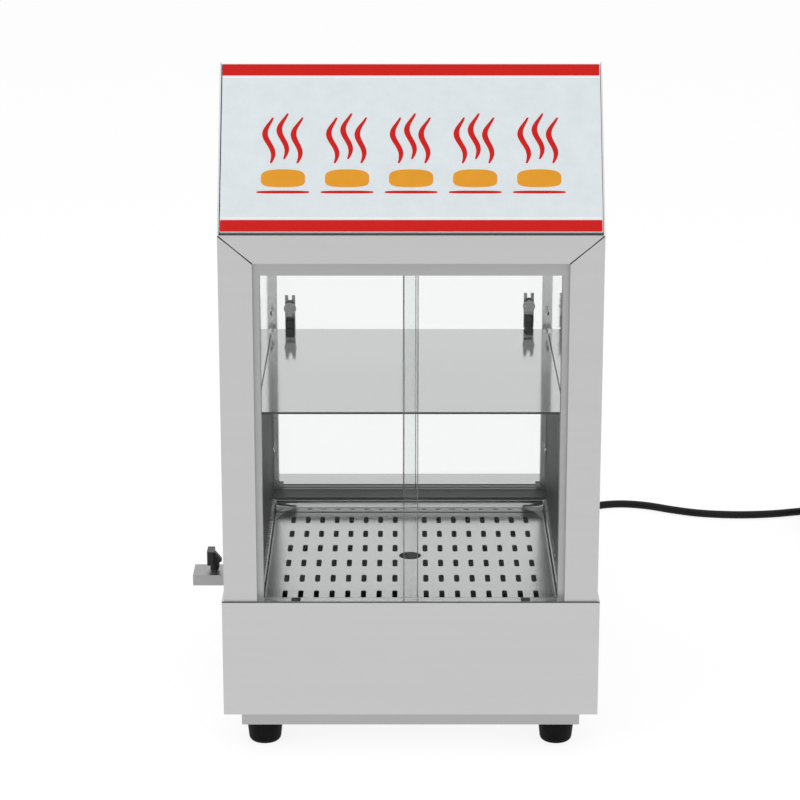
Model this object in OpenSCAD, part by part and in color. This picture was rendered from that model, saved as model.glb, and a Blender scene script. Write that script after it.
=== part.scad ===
// Countertop steamer cabinet: a heated water well with a perforated tray, a warm shelf
// above it, sliding glass doors front and rear, and a hood with an inclined sign.
// X runs across the front, Y runs from the front to the rear, Z is up from the table.

/* [Base cabinet] */
// Width of the base cabinet
base_w = 354; // [346:1:380]
// Depth of the base cabinet
base_d = 392; // [384:1:430]
// Height of the base cabinet
base_h = 114; // [108:1:140]
// Thickness of the outer steel sheet
sheet_t = 1.5; // [1.0:0.1:1.8]
// Setback of the bottom pan from the cabinet's sides
pan_inset = 16; // [12:1:24]
// Height of the bottom pan that shows below the cabinet
pan_h = 17; // [12:1:22]
// Rise of the pan's walls inside the cabinet
pan_rise = 12; // [8:1:16]

/* [Side vents] */
// Distance from the base's front to the first vent
vent_in = 70; // [50:1:90]
// Spacing of the vents
vent_pitch = 12; // [10:1:14]
// Width of a vent
vent_w = 4; // [3:0.5:5]
// Height of the vents' lower ends above the cabinet's lower edge
vent_up = 18; // [14:1:24]
// Length of a vent
vent_h = 28; // [20:1:34]

/* [Feet] */
// Height of a rubber foot
foot_h = 24; // [18:1:30]
// Radius of a foot at its top
foot_r = 18; // [15:0.5:20]
// Radius of a foot near its sole
foot_sole_r = 15.5; // [13:0.5:17]
// Rounding of the foot's lower edge
foot_round = 5; // [3:0.5:6]
// Distance from the cabinet's side to a foot's centre
foot_in_x = 37; // [36:1:60]
// Distance from the cabinet's front or rear to a foot's centre
foot_in_y = 38; // [36:1:60]
// Radius of the foot screw's shank
screw_r = 3; // [2:0.5:4]

/* [Display frame] */
// Setback of the frame from the base's sides
frame_in = 2; // [1:0.5:4]
// Ledge of the base behind the frame
frame_rear_in = 30.5; // [24:0.5:40]
// Height of the frame
frame_h = 350; // [320:1:400]
// Setback of the frame from the base's front
frame_setback = 1.5; // [1.5:0.5:6]
// Width of a corner stile
stile_w = 31; // [28:1:36]
// Height of the head rail
rail_h = 26; // [22:1:30]
// Depth of the head rails' upper fold
top_fold = 14; // [10:1:20]
// Width of the mitre seam between stile and rail
mitre_gap = 0.4; // [0.2:0.1:0.6]
// Thickness of the inner steel sheet
liner_t = 1.2; // [0.8:0.1:1.4]

/* [Hood] */
// Height of the hood above the frame
hood_h = 142; // [120:1:160]
// Setback of the ridge from the frame's front
ridge_in = 86; // [70:1:110]
// Lip of the hood ends past the slopes
hood_lip = 1.2; // [1.1:0.1:1.3]
// Thickness of a sign panel
sign_t = 0.8; // [0.5:0.1:1.0]
// Margin between a sign panel and the hood ends
sign_side = 2; // [1.5:0.5:6]
// Margin between a sign panel and the hood's lower edge
sign_foot = 3; // [2:0.5:10]

/* [Sliding doors] */
// Thickness of a glass pane
glass_t = 4; // [3:0.5:4.5]
// Width of a track slot
slot_w = 5; // [5:0.1:5.4]
// Thickness of a track's sheet
track_t = 1.2; // [0.8:0.1:1.2]
// Setback of the front track from the frame's front
front_track_in = 8.5; // [8:0.5:12]
// Setback of the rear track from the frame's rear
rear_track_in = 7.8; // [7:0.1:12]
// Distance between the two rear panes
rear_pitch = 10; // [9:0.5:12]
// Depth of the lower tracks
low_track_h = 8; // [6:0.5:10]
// Rise of the rear lower track above the deck
rear_sill_h = 4; // [0:0.5:8]
// Depth of the upper tracks
top_track_h = 14.5; // [13:0.5:16]
// Depth of the side channels
side_track_w = 6; // [4:0.5:8]
// Overlap of two closed doors at the centre
door_overlap = 14; // [10:1:20]
// Gap between a pane and the bottom of its track
pane_gap = 0.3; // [0.3:0.1:0.6]
// Gap between a closed pane and its side channel
pane_side_gap = 0.5; // [0.3:0.1:1]
// Height of a pane that stands in the upper track
pane_hold = 3; // [2:0.5:5]

/* [Door handles] */
// Width of a handle strap
handle_w = 10.6; // [8:0.1:14]
// Length of a handle strap
handle_h = 38; // [30:1:50]
// Height of a handle's lower end above the deck
handle_z = 172; // [150:1:200]
// Distance from a closed pane's outer edge to its handle
handle_in = 18.3; // [14:0.1:24]
// Thickness of the handle's strap
handle_t = 1.2; // [0.8:0.1:1.4]
// Reach of the handle's finger lip from the glass
handle_reach = 4.2; // [3.2:0.1:4.4]
// Radius of the inner washer
washer_r = 6.35; // [5:0.05:7.5]
// Thickness of the inner washer
washer_t = 1.4; // [1:0.1:1.5]
// Height of the handle screw above the strap's lower end
handle_screw_up = 25; // [22:1:28]

/* [Water well] */
// Gap between the frame's inner faces and the tank's sides
tank_side_gap = 3.8; // [3:0.1:6]
// Distance from the frame's rear to the tank
tank_rear_in = 55.5; // [50:0.5:60]
// Setback of the tank's inside from the base's front
tank_in = 27; // [26:0.5:30]
// Depth of the tank below the deck
tank_depth = 65; // [60:1:72]
// Width of the rim that hangs the tank
tank_rim = 9; // [6:0.5:12]
// Radius of the heating tube
element_r = 3.5; // [3:0.25:4.5]
// Spacing of the heating tube's runs
element_pitch = 60; // [50:1:66]
// Height of the heating tube above the tank's floor
element_up = 13; // [11:0.5:16]
// Gap between the heating tube and the tank's rear wall at a bend
element_end = 40; // [36:1:60]

/* [Perforated tray] */
// Gap between the tank's sides and the tray
tray_side_gap = 1.2; // [0.6:0.1:2]
// Gap between the tray and the tank's rear wall
tray_rear_gap = 10; // [4:1:16]
// Gap between the tank's front wall and the tray
tray_front_gap = 2; // [1:0.5:3]
// Depth of the tray's top below the deck
tray_drop = 12; // [9:0.5:16]
// Height of the tray's folded skirt
tray_skirt = 8; // [6:0.5:12]
// Gap between the tray and the ledges that carry it
seat_gap = 0.3; // [0.3:0.1:0.5]
// Width of a slot
hole_w = 5; // [4:0.5:7]
// Length of a slot
hole_l = 20; // [14:1:24]
// Distance from the tray's side to the middle of the outer slots
hole_side = 19; // [12:1:30]
// Distance from the tray's front or rear to the middle of the outer slots
hole_end = 23.5; // [20:0.5:40]
// Slots each side of the centre
hole_cols = 8; // [4:1:8]
// Rows of slots
hole_rows = 6; // [3:1:6]
// Radius of the finger hole
finger_r = 11; // [9:0.5:13]

/* [Warm shelf] */
// Height of the shelf's top above the deck
shelf_z = 176; // [160:1:200]
// Thickness of the shelf with its folded edge
shelf_t = 2; // [1.6:0.1:4]
// Gap between the shelf and the liners
shelf_gap = 0.6; // [0.4:0.1:1.2]
// Setback of the shelf from the frame's front
shelf_in = 28.5; // [26:0.5:40]
// Gap between the shelf and the rear track
shelf_rear_gap = 2.3; // [1.5:0.1:10]
// Width of a carrying ledge
ledge_w = 10; // [8:0.5:14]
// Radius of the liner screws' heads
liner_screw_r = 3.2; // [2.5:0.1:4]
// Distance from the rear track to the liner screws
liner_screw_in = 10; // [8:1:16]
// Height of the lower liner screws above the deck
liner_screw_up = 46; // [30:1:80]
// Height of the upper liner screws above the shelf
liner_screw_over = 19; // [14:1:40]

/* [Drain tap] */
// Distance of the tap from the base's front
drain_y = 221; // [180:1:240]
// Reach of the tap from the base's side
drain_reach = 43; // [40:1:50]
// Outer radius of the drain pipe
drain_r = 5; // [4.5:0.25:5.5]
// Bore radius of the drain pipe
drain_bore = 3.6; // [3:0.1:4]
// Radius of the tap's body
tap_r = 7; // [6.5:0.1:7.4]
// Length of the hose end
spout_l = 10; // [8:0.5:12]
// Distance from the base's side to the lever's axis
lever_out = 22; // [20:0.5:24]
// Radius of the tap's stem
stem_r = 2.4; // [2:0.1:3]
// Height of the tap's lever
lever_h = 21; // [17:0.5:24]
// Length of the lever's thumb block
lever_l = 18; // [14:0.5:24]
// Width of the guard above the tap
guard_w = 33; // [26:1:40]
// Height of the guard's folded sides
guard_h = 11; // [9:0.5:14]

/* [Controls and lead entry] */
// Distance from the centre to the thermostat
stat_x = 70; // [60:1:100]
// Height of the controls above the cabinet's lower edge
control_z = 57; // [50:1:62]
// Radius of the thermostat knob
knob_r = 19; // [16:0.5:22]
// Height of the thermostat knob
knob_h = 17; // [14:0.5:20]
// Radius of the thermostat's shaft
shaft_r = 3; // [2.5:0.25:3.5]
// Radius of the thermostat's bushing
bush_r = 5; // [4.5:0.25:6]
// Running clearance of the shaft
run_fit = 0.05; // [0.02:0.01:0.1]
// Length of the switch's frame
switch_l = 31; // [28:1:36]
// Width of the switch's frame
switch_w = 15; // [13:0.5:18]
// Tilt of the rocker
rocker_tilt = 10; // [8:1:12]
// Distance from the centre to the pilot lamp
lamp_x = 45; // [38:1:70]
// Radius of the pilot lamp
lamp_r = 6; // [5:0.5:8]
// Distance from the centre to the lead entry
gland_x = 150; // [140:1:156]
// Height of the lead entry above the cabinet's lower edge
gland_z = 54; // [50:1:60]
// Length of the strain relief outside the panel
gland_l = 30; // [24:1:36]
// Radius of the lead
cord_r = 4.5; // [4:0.1:4.6]

/* [Hidden] */
$fn = 48;
eps = 0.01;
steel = [0.76, 0.76, 0.77];
polished = [0.86, 0.87, 0.88];
dark_steel = [0.42, 0.42, 0.44];
black = [0.07, 0.07, 0.07];
glass_tint = [0.80, 0.88, 0.88, 0.35];

// Levels
pan_z = foot_h;
base_z = pan_z + pan_h;
deck_z = base_z + base_h;
frame_z = deck_z + frame_h;
ceiling_z = frame_z - rail_h + sheet_t;
shelf_top = deck_z + shelf_z;
ledge_top = shelf_top - shelf_t - seat_gap;

// Frame places
frame_w = base_w - 2 * frame_in;
frame_d = base_d - frame_setback - frame_rear_in;
frame_y0 = frame_setback;
frame_y1 = frame_setback + frame_d;
inner_x = frame_w / 2 - stile_w;
liner_x = inner_x - liner_t;
pan_x = base_w / 2 - pan_inset;
foot_x = base_w / 2 - foot_in_x;

// Track places: each door's slot starts at these values
front_slot_y = [for (i = [0, 1]) frame_y0 + front_track_in + track_t + i * (slot_w + track_t)];
rear_far_y = frame_y1 - rear_track_in - track_t - slot_w;
rear_slot_y = [rear_far_y - rear_pitch, rear_far_y];
front_track_y0 = front_slot_y[0] - track_t;
front_track_y1 = front_slot_y[1] + slot_w + track_t;
rear_track_y0 = rear_slot_y[0] - track_t;
rear_track_y1 = rear_slot_y[1] + slot_w + track_t;
track_floor = deck_z - low_track_h;
track_mouth = ceiling_z - top_track_h;
pane_z0 = track_floor + track_t + pane_gap;
pane_z1 = track_mouth + pane_hold;
pane_x1 = inner_x - track_t - pane_side_gap;
pane_in_slot = (slot_w - glass_t) / 2;
handle_x = pane_x1 - handle_in;

// Warm shelf places
shelf_y0 = frame_y0 + shelf_in;
shelf_y1 = rear_track_y0 - shelf_rear_gap;

// Water well places
tank_w = 2 * (inner_x - tank_side_gap);
tank_y0 = tank_in;
tank_y1 = frame_y1 - tank_rear_in;
tank_floor = deck_z - tank_depth;
tray_top = deck_z - tray_drop;
tray_w = tank_w - 2 * tray_side_gap;
tray_y0 = tank_y0 + tray_front_gap;
tray_y1 = tank_y1 - tray_rear_gap;
hole_pitch_x = (tray_w / 2 - hole_side) / hole_cols;
hole_pitch_y = (tray_y1 - tray_y0 - 2 * hole_end) / (hole_rows - 1);
tray_ledge = tray_top - tray_skirt - seat_gap;
element_z = tank_floor + liner_t + element_up;

// Drain places
drain_z = tank_floor + liner_t + 7.3;
lever_x = -base_w / 2 - lever_out;
spout_x = -base_w / 2 - drain_reach;
guard_z = drain_z + tap_r;
lever_z = guard_z + sheet_t + 1;

// Rear panel places
rear_y = base_d;
stat_z = base_z + control_z;
gland_at = [gland_x, rear_y, base_z + gland_z];

// Reach of the object, whose middle is the origin
x_low = spout_x;
x_high = base_w / 2;
y_high = rear_y + gland_l;

// Slopes of the hood
front_pitch = atan2(hood_h, ridge_in);
rear_pitch_angle = atan2(hood_h, frame_d - ridge_in);
sign_slant = norm([hood_h, ridge_in]) - sign_foot - 1;

// Moves the model's natural corner frame to the middle of its footprint
module place() {
    translate([-(x_low + x_high) / 2, -y_high / 2, 0]) children();
}

// A block given by its two limits on each axis
module block(x, y, z) {
    translate([x[0], y[0], z[0]]) cube([x[1] - x[0], y[1] - y[0], z[1] - z[0]]);
}

// A round bar along Y that starts at a point
module bar_y(at, r, l) {
    translate(at) rotate([-90, 0, 0]) cylinder(r = r, h = l);
}

// Front and both sides of the base, folded from one sheet, with a lip around the pan
module base_shell() {
    place() color(steel) difference() {
        block([-base_w / 2, base_w / 2], [0, rear_y - sheet_t], [base_z, deck_z - sheet_t]);
        block([-base_w / 2 + sheet_t, base_w / 2 - sheet_t], [sheet_t, rear_y], [base_z + sheet_t, deck_z]);
        block([-pan_x, pan_x], [pan_inset, rear_y], [base_z - 1, deck_z]);
        translate([-base_w / 2 - 1, drain_y, drain_z]) rotate([0, 90, 0])
            cylinder(r = drain_r + 1, h = sheet_t + 2);
        side_vents();
    }
}

// Rows of cooling slots low in both sides
module side_vents() {
    for (i = [0 : 5]) let (y = vent_in + vent_pitch * i)
        block([-base_w, base_w], [y, y + vent_w], [base_z + vent_up, base_z + vent_up + vent_h]);
}

// Rear wall of the base, which carries the controls
module base_rear_panel() {
    place() color(steel) difference() {
        union() {
            block([-base_w / 2, base_w / 2], [rear_y - sheet_t, rear_y], [base_z, deck_z - sheet_t]);
            block([-pan_x, pan_x], [rear_y - pan_inset, rear_y], [base_z, base_z + sheet_t]);
        }
        bar_y([-stat_x, rear_y - sheet_t - 1, stat_z], bush_r + 0.1, sheet_t + 2);
        bar_y([lamp_x, rear_y - sheet_t - 1, stat_z], lamp_r, sheet_t + 2);
        bar_y([gland_at[0], rear_y - sheet_t - 1, gland_at[2]], cord_r + 3, sheet_t + 2);
        block([-switch_l / 2 + 2, switch_l / 2 - 2], [rear_y - sheet_t - 1, rear_y + 1],
            [stat_z - switch_w / 2 + 1.5, stat_z + switch_w / 2 - 1.5]);
    }
}

// Top sheet of the base, open for the tank and for both door tracks
module base_deck() {
    place() color(steel) difference() {
        block([-base_w / 2, base_w / 2], [0, rear_y], [deck_z - sheet_t, deck_z]);
        block([-inner_x, inner_x], [front_track_y0, front_track_y1], [deck_z - 9, deck_z + 1]);
        block([-inner_x, inner_x], [rear_track_y0, rear_track_y1], [deck_z - 9, deck_z + 1]);
        block([-tank_w / 2, tank_w / 2], [tank_y0, tank_y1], [deck_z - 9, deck_z + 1]);
    }
}

// Shallow pan that closes the base and carries the feet
module bottom_pan() {
    place() color(steel) difference() {
        block([-pan_x, pan_x], [pan_inset, rear_y - pan_inset], [pan_z, base_z + pan_rise]);
        block([-pan_x + sheet_t, pan_x - sheet_t], [pan_inset + sheet_t, rear_y - pan_inset - sheet_t],
            [pan_z + sheet_t, base_z + pan_rise + 1]);
        at_feet() translate([0, 0, pan_z - 1]) cylinder(r = screw_r + 0.3, h = sheet_t + 2);
        for (x = [-1, 1], i = [0 : 7])
            block([x * 60 - 25, x * 60 + 25], [140 + 14 * i, 145 + 14 * i], [pan_z - 1, pan_z + sheet_t + 1]);
    }
}

module at_feet() {
    for (x = [-foot_x, foot_x], y = [foot_in_y, rear_y - foot_in_y])
        translate([x, y, 0]) children();
}

// A tapered rubber foot with a rounded lower edge and a recess for its screw
module foot(x, y) {
    head_r = screw_r + 4;
    place() color(black) translate([x, y, 0]) rotate_extrude() polygon(concat(
        [[screw_r + 0.3, pan_z], [screw_r + 0.3, 8], [head_r + 1, 8], [head_r + 1, 0]],
        [for (a = [-90 : 15 : 0]) [foot_sole_r - foot_round + foot_round * cos(a),
            foot_round + foot_round * sin(a)]],
        [[foot_r - 0.8, pan_z - 3], [foot_r, pan_z - 2.4], [foot_r, pan_z]]));
}

module foot_front_left() { foot(-foot_x, foot_in_y); }
module foot_front_right() { foot(foot_x, foot_in_y); }
module foot_rear_left() { foot(-foot_x, rear_y - foot_in_y); }
module foot_rear_right() { foot(foot_x, rear_y - foot_in_y); }

// Screws and nuts that hold the feet
module foot_screws() {
    place() color(polished) at_feet() {
        difference() {
            translate([0, 0, 4.5]) cylinder(r = screw_r + 4, h = 3.5);
            block([-screw_r - 3, screw_r + 3], [-0.6, 0.6], [4, 5.5]);
        }
        translate([0, 0, 7]) cylinder(r = screw_r, h = pan_z + sheet_t + 6 - 7);
        translate([0, 0, pan_z + sheet_t]) cylinder(r = screw_r + 3, h = 4, $fn = 6);
    }
}

// Mitre line of a frame corner, as the space above it
module mitre_cut(y0, y1) {
    drop = rail_h / stile_w;
    translate([0, y1, 0]) rotate([90, 0, 0]) linear_extrude(y1 - y0) polygon([
        [frame_w / 2 + 1, frame_z + 1 * drop - mitre_gap],
        [inner_x - 1, frame_z - rail_h - 1 * drop - mitre_gap],
        [inner_x - 1, frame_z + 2], [frame_w / 2 + 1, frame_z + 2]]);
}

// One side of the frame: outer sheet, front and rear stiles and their inner returns
module side_panel() {
    color(steel) difference() {
        union() {
            block([frame_w / 2 - sheet_t, frame_w / 2], [frame_y0, frame_y1], [deck_z, frame_z]);
            block([inner_x, frame_w / 2], [frame_y0, frame_y0 + sheet_t], [deck_z, frame_z]);
            block([inner_x, frame_w / 2], [frame_y1 - sheet_t, frame_y1], [deck_z, frame_z]);
            block([inner_x, inner_x + sheet_t], [frame_y0, front_track_y1 + 8], [deck_z, ceiling_z - sheet_t]);
            block([inner_x, inner_x + sheet_t], [rear_track_y0 - 8, frame_y1], [deck_z, ceiling_z - sheet_t]);
        }
        mitre_cut(frame_y0 - 1, frame_y0 + sheet_t + 0.5);
        mitre_cut(frame_y1 - sheet_t - 0.5, frame_y1 + 1);
    }
}

module side_panel_left() { place() mirror([1, 0, 0]) side_panel(); }
module side_panel_right() { place() side_panel(); }

// Head rail with mitred ends, folded back at its top and under the ceiling
module header(face_y, back, lower_fold) {
    y_in = face_y + back * sheet_t;
    color(steel) {
        translate([0, max(face_y, y_in), 0]) rotate([90, 0, 0]) linear_extrude(sheet_t) polygon([
            [-frame_w / 2 + mitre_gap, frame_z], [frame_w / 2 - mitre_gap, frame_z],
            [inner_x - mitre_gap, frame_z - rail_h], [-inner_x + mitre_gap, frame_z - rail_h]]);
        fold([-inner_x + mitre_gap, inner_x - mitre_gap], face_y, back * lower_fold,
            [frame_z - rail_h, ceiling_z]);
        fold([-inner_x, inner_x], face_y, back * top_fold, [frame_z - sheet_t, frame_z]);
    }
}

// A flat fold that runs from a face into the frame
module fold(x, face_y, depth, z) {
    block(x, [min(face_y, face_y + depth), max(face_y, face_y + depth)], z);
}

module front_header() { place() header(frame_y0, 1, front_track_in); }
module rear_header() { place() header(frame_y1, -1, rear_track_in); }

// Sheet that closes the warm chamber below the hood
module ceiling_panel() {
    place() color(steel) block([-frame_w / 2 + sheet_t, frame_w / 2 - sheet_t],
        [frame_y0 + sheet_t, frame_y1 - sheet_t], [ceiling_z, ceiling_z + liner_t]);
}

module liner(z0, z1) {
    block([liner_x, inner_x], [front_track_y1, rear_track_y0], [z0, z1]);
}

module upper_liner_left() { place() color(polished) mirror([1, 0, 0]) liner(shelf_top - 1, ceiling_z); }
module upper_liner_right() { place() color(polished) liner(shelf_top - 1, ceiling_z); }
module lower_liner_left() { place() color(dark_steel) mirror([1, 0, 0]) liner(deck_z, shelf_top - 1); }
module lower_liner_right() { place() color(dark_steel) liner(deck_z, shelf_top - 1); }

// Foot and apex of the hood's outline, moved out by a distance
function roof_foot(out) = [frame_y0 - out / sin(front_pitch), frame_y1 + out / sin(rear_pitch_angle)];
function roof_apex(out) = let (f = tan(front_pitch), r = tan(rear_pitch_angle), e = roof_foot(out),
    y = (f * e[0] + r * e[1]) / (f + r)) [y, frame_z + f * (y - e[0])];

module roof_outline(out) {
    polygon([[roof_foot(out)[0], frame_z], roof_apex(out), [roof_foot(out)[1], frame_z]]);
}

// Turns an outline in Y and Z into a plate across X
module across(x0, x1) {
    translate([x0, 0, 0]) rotate([90, 0, 90]) linear_extrude(x1 - x0) children();
}

// Closed ends of the hood
module hood_end_left() {
    place() color(steel) across(-frame_w / 2, -frame_w / 2 + sheet_t) roof_outline(hood_lip);
}

module hood_end_right() {
    place() color(steel) across(frame_w / 2 - sheet_t, frame_w / 2) roof_outline(hood_lip);
}

// Folded sheet that makes both slopes
module hood_cover() {
    place() color(steel) across(-frame_w / 2 + sheet_t, frame_w / 2 - sheet_t) difference() {
        roof_outline(0);
        translate([0, -eps]) roof_outline(-sheet_t);
    }
}

module sign_panel() {
    block([-frame_w / 2 + sign_side, frame_w / 2 - sign_side], [sign_foot, sign_foot + sign_slant], [0, sign_t]);
}

module sign_front() {
    place() color([0.90, 0.93, 0.94]) translate([0, frame_y0, frame_z]) rotate([front_pitch, 0, 0]) sign_panel();
}

module sign_rear() {
    place() color([0.90, 0.93, 0.94]) translate([0, frame_y1, frame_z])
        rotate([rear_pitch_angle, 0, 180]) sign_panel();
}

// Cross-section of a two-slot track that opens upward, as depth against height
module track_legs(slots, h) {
    for (s = slots) {
        translate([s - track_t, 0]) square([track_t, h]);
        translate([s + slot_w, 0]) square([track_t, h]);
    }
    translate([slots[0] - track_t, 0])
        square([slots[1] - slots[0] + slot_w + 2 * track_t, track_t]);
}

module lower_track(slots, h) {
    color(steel) across(-inner_x, inner_x) translate([0, track_floor]) track_legs(slots, h);
}

module upper_track(slots) {
    color(steel) across(-inner_x, inner_x) translate([0, ceiling_z]) mirror([0, 1])
        track_legs(slots, top_track_h);
}

module side_tracks(slots, z0) {
    color(steel) for (side = [0, 1]) mirror([side, 0, 0])
        translate([inner_x, 0, z0]) mirror([1, 0, 0]) linear_extrude(track_mouth - z0)
            rotate(90) mirror([0, 1]) track_legs(slots, side_track_w);
}

module front_bottom_track() { place() lower_track(front_slot_y, low_track_h); }
module rear_bottom_track() { place() lower_track(rear_slot_y, low_track_h + rear_sill_h); }
module front_top_track() { place() upper_track(front_slot_y); }
module rear_top_track() { place() upper_track(rear_slot_y); }
module front_side_tracks() { place() side_tracks(front_slot_y, deck_z); }
module rear_side_tracks() { place() side_tracks(rear_slot_y, deck_z + rear_sill_h); }

// Water tank with a rim that hangs under the deck, and holes for heater and drain
module water_tank() {
    out = liner_t;
    place() color(polished) difference() {
        union() {
            block([-tank_w / 2 - out, tank_w / 2 + out], [tank_y0 - out, tank_y1 + out],
                [tank_floor, deck_z - sheet_t]);
            block([-tank_w / 2 - tank_rim, tank_w / 2 + tank_rim], [front_track_y1 + 0.4, tank_y1 + tank_rim],
                [deck_z - sheet_t - liner_t, deck_z - sheet_t]);
        }
        block([-tank_w / 2, tank_w / 2], [tank_y0, tank_y1], [tank_floor + liner_t, deck_z]);
        translate([-tank_w / 2 - out - 1, drain_y, drain_z]) rotate([0, 90, 0])
            cylinder(r = drain_r + 0.1, h = out + 2);
        for (x = [-1.5, 1.5])
            bar_y([x * element_pitch, tank_y1 - 1, element_z], element_r + 0.2, out + 2);
    }
}

// Angle ledges along the tank's sides that carry the tray
module tray_ledges() {
    place() color(polished) for (side = [0, 1]) mirror([side, 0, 0]) {
        block([tank_w / 2 - ledge_w, tank_w / 2], [tank_y0 + 12, tank_y1 - 16],
            [tray_ledge - liner_t, tray_ledge]);
        block([tank_w / 2 - liner_t, tank_w / 2], [tank_y0 + 12, tank_y1 - 16],
            [tray_ledge - 10, tray_ledge]);
    }
}

// Angle ledges on the liners that carry the shelf
module shelf_ledges() {
    place() color(polished) for (side = [0, 1]) mirror([side, 0, 0]) {
        block([liner_x - ledge_w, liner_x], [front_track_y1 + 14, rear_track_y0 - 12],
            [ledge_top - liner_t, ledge_top]);
        block([liner_x - liner_t, liner_x], [front_track_y1 + 14, rear_track_y0 - 12],
            [ledge_top - 10, ledge_top]);
    }
}

// Sheathed heating tube: four runs with three bends, and collars on both sides of the tank's rear wall
module heating_element() {
    half = element_pitch / 2;
    front_y = tank_y0 + element_end;
    back_y = tank_y1 - element_end;
    place() color(dark_steel) translate([0, 0, element_z]) {
        for (x = [-3 * half, 3 * half]) {
            bar_y([x, front_y, 0], element_r, tank_y1 + 24 - front_y);
            bar_y([x, tank_y1 - 3, 0], element_r + 4, 3);
            bar_y([x, tank_y1 + liner_t, 0], element_r + 4, 5);
        }
        for (x = [-half, half])
            bar_y([x, front_y, 0], element_r, back_y - front_y);
        for (x = [-element_pitch, element_pitch])
            translate([x, front_y, 0]) rotate(180) bend(half);
        translate([0, back_y, 0]) bend(half);
    }
}

module bend(r) {
    rotate_extrude(angle = 180) translate([r, 0]) circle(r = element_r, $fn = 24);
}

// Round-headed screws that hold the liners at the chamber's rear corners
module liner_screws() {
    place() color(polished) for (side = [0, 1], z = [deck_z + liner_screw_up, shelf_top + liner_screw_over])
        mirror([side, 0, 0]) translate([liner_x, rear_track_y0 - liner_screw_in, z]) rotate([0, -90, 0]) rotate_extrude()
            polygon([[0, 0], [liner_screw_r, 0], [liner_screw_r * 0.8, 1], [0, 1.5]]);
}

// Drain pipe from the tank, the tap's body, its stem and its hose end
module drain_tap() {
    wall_x = base_w / 2;
    place() color([0.72, 0.70, 0.66]) translate([0, drain_y, drain_z]) {
        difference() {
            rotate([0, -90, 0]) union() {
                translate([0, 0, tank_w / 2]) cylinder(r = drain_r, h = wall_x + drain_reach - tank_w / 2);
                translate([0, 0, wall_x]) cylinder(r = tap_r, h = 4, $fn = 6);
                translate([0, 0, wall_x + 4]) cylinder(r = tap_r - 1, h = drain_reach - spout_l - 8);
                translate([0, 0, wall_x + drain_reach - spout_l - 4]) cylinder(r = tap_r, h = 4, $fn = 6);
            }
            rotate([0, -90, 0]) translate([0, 0, tank_w / 2 - 1])
                cylinder(r = drain_bore, h = wall_x + drain_reach);
        }
        translate([lever_x, 0, drain_bore + 0.6]) cylinder(r = stem_r + 1.6, h = tap_r - drain_bore - 0.6);
        translate([lever_x, 0, drain_bore + 0.6])
            cylinder(r = stem_r, h = lever_z - drain_z - drain_bore - 0.6 + lever_h - 5);
    }
}

// Folded plate over the tap, with a hole for its stem
module drain_guard() {
    wall_x = base_w / 2;
    place() color(steel) difference() {
        block([-wall_x - drain_reach, -wall_x], [drain_y - guard_w / 2, drain_y + guard_w / 2],
            [guard_z + sheet_t - guard_h, guard_z + sheet_t]);
        block([-wall_x - drain_reach - 1, -wall_x - sheet_t],
            [drain_y - guard_w / 2 + sheet_t, drain_y + guard_w / 2 - sheet_t], [guard_z - guard_h, guard_z]);
        translate([lever_x, drain_y, guard_z - 1]) cylinder(r = stem_r + 2, h = sheet_t + 2);
        translate([-wall_x - sheet_t - 1, drain_y, drain_z]) rotate([0, 90, 0])
            cylinder(r = tap_r + 0.4, h = sheet_t + 2);
    }
}

// Lever with a thumb block and a side wing, turned across the pipe when the tap is shut
module drain_lever() {
    collar_h = 6.5;
    place() color(black) translate([lever_x, drain_y, lever_z]) difference() {
        union() {
            cylinder(r = 4.3, h = collar_h + 6);
            hull() for (y = [-lever_l / 2 + 1.5, lever_l / 2 - 1.5], x = [-5.5, -1])
                translate([x, y, collar_h]) cylinder(r = 1.5, h = lever_h - collar_h, $fn = 24);
            translate([0, 3, 0]) rotate([90, 0, 0]) linear_extrude(6) polygon([
                [0, lever_h - 1], [7.5, collar_h + 4.5], [7.5, collar_h + 2.5],
                [5, collar_h + 1], [5, 2], [0, 2]]);
        }
        translate([0, 0, -1]) cylinder(r = stem_r + run_fit, h = lever_h - 3);
    }
}

// Thermostat behind the rear panel, with the bushing that holds its shaft
module thermostat_body() {
    place() color(dark_steel) difference() {
        union() {
            block([-stat_x - 18, -stat_x + 18], [rear_y - sheet_t - 26, rear_y - sheet_t - 2],
                [stat_z - 14, stat_z + 14]);
            bar_y([-stat_x, rear_y - sheet_t - 2, stat_z], 9, 2);
            bar_y([-stat_x, rear_y - sheet_t - 2, stat_z], bush_r, sheet_t + 5);
        }
        bar_y([-stat_x, rear_y - sheet_t - 16, stat_z], shaft_r + run_fit, 40);
    }
}

// Fluted knob with a pointer rib, and the shaft that it turns
module thermostat_knob() {
    gap = 4;
    place() color(black) translate([-stat_x, rear_y, stat_z]) rotate([-90, 0, 0]) {
        translate([0, 0, -sheet_t - 12]) cylinder(r = shaft_r, h = 20);
        difference() {
            union() {
                translate([0, 0, gap]) rotate_extrude() polygon([[0, 0], [knob_r, 0], [knob_r, 2.5],
                    [knob_r * 0.78, 4.5], [knob_r * 0.72, knob_h - 1.5], [knob_r * 0.66, knob_h], [0, knob_h]]);
                translate([-1.5, -knob_r * 0.95, gap]) cube([3, knob_r * 0.9, knob_h + 0.8]);
            }
            for (a = [15 : 30 : 345]) rotate(a) translate([knob_r * 0.82, 0, gap + 4.6])
                cylinder(r = 2.4, h = knob_h);
        }
    }
}

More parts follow.
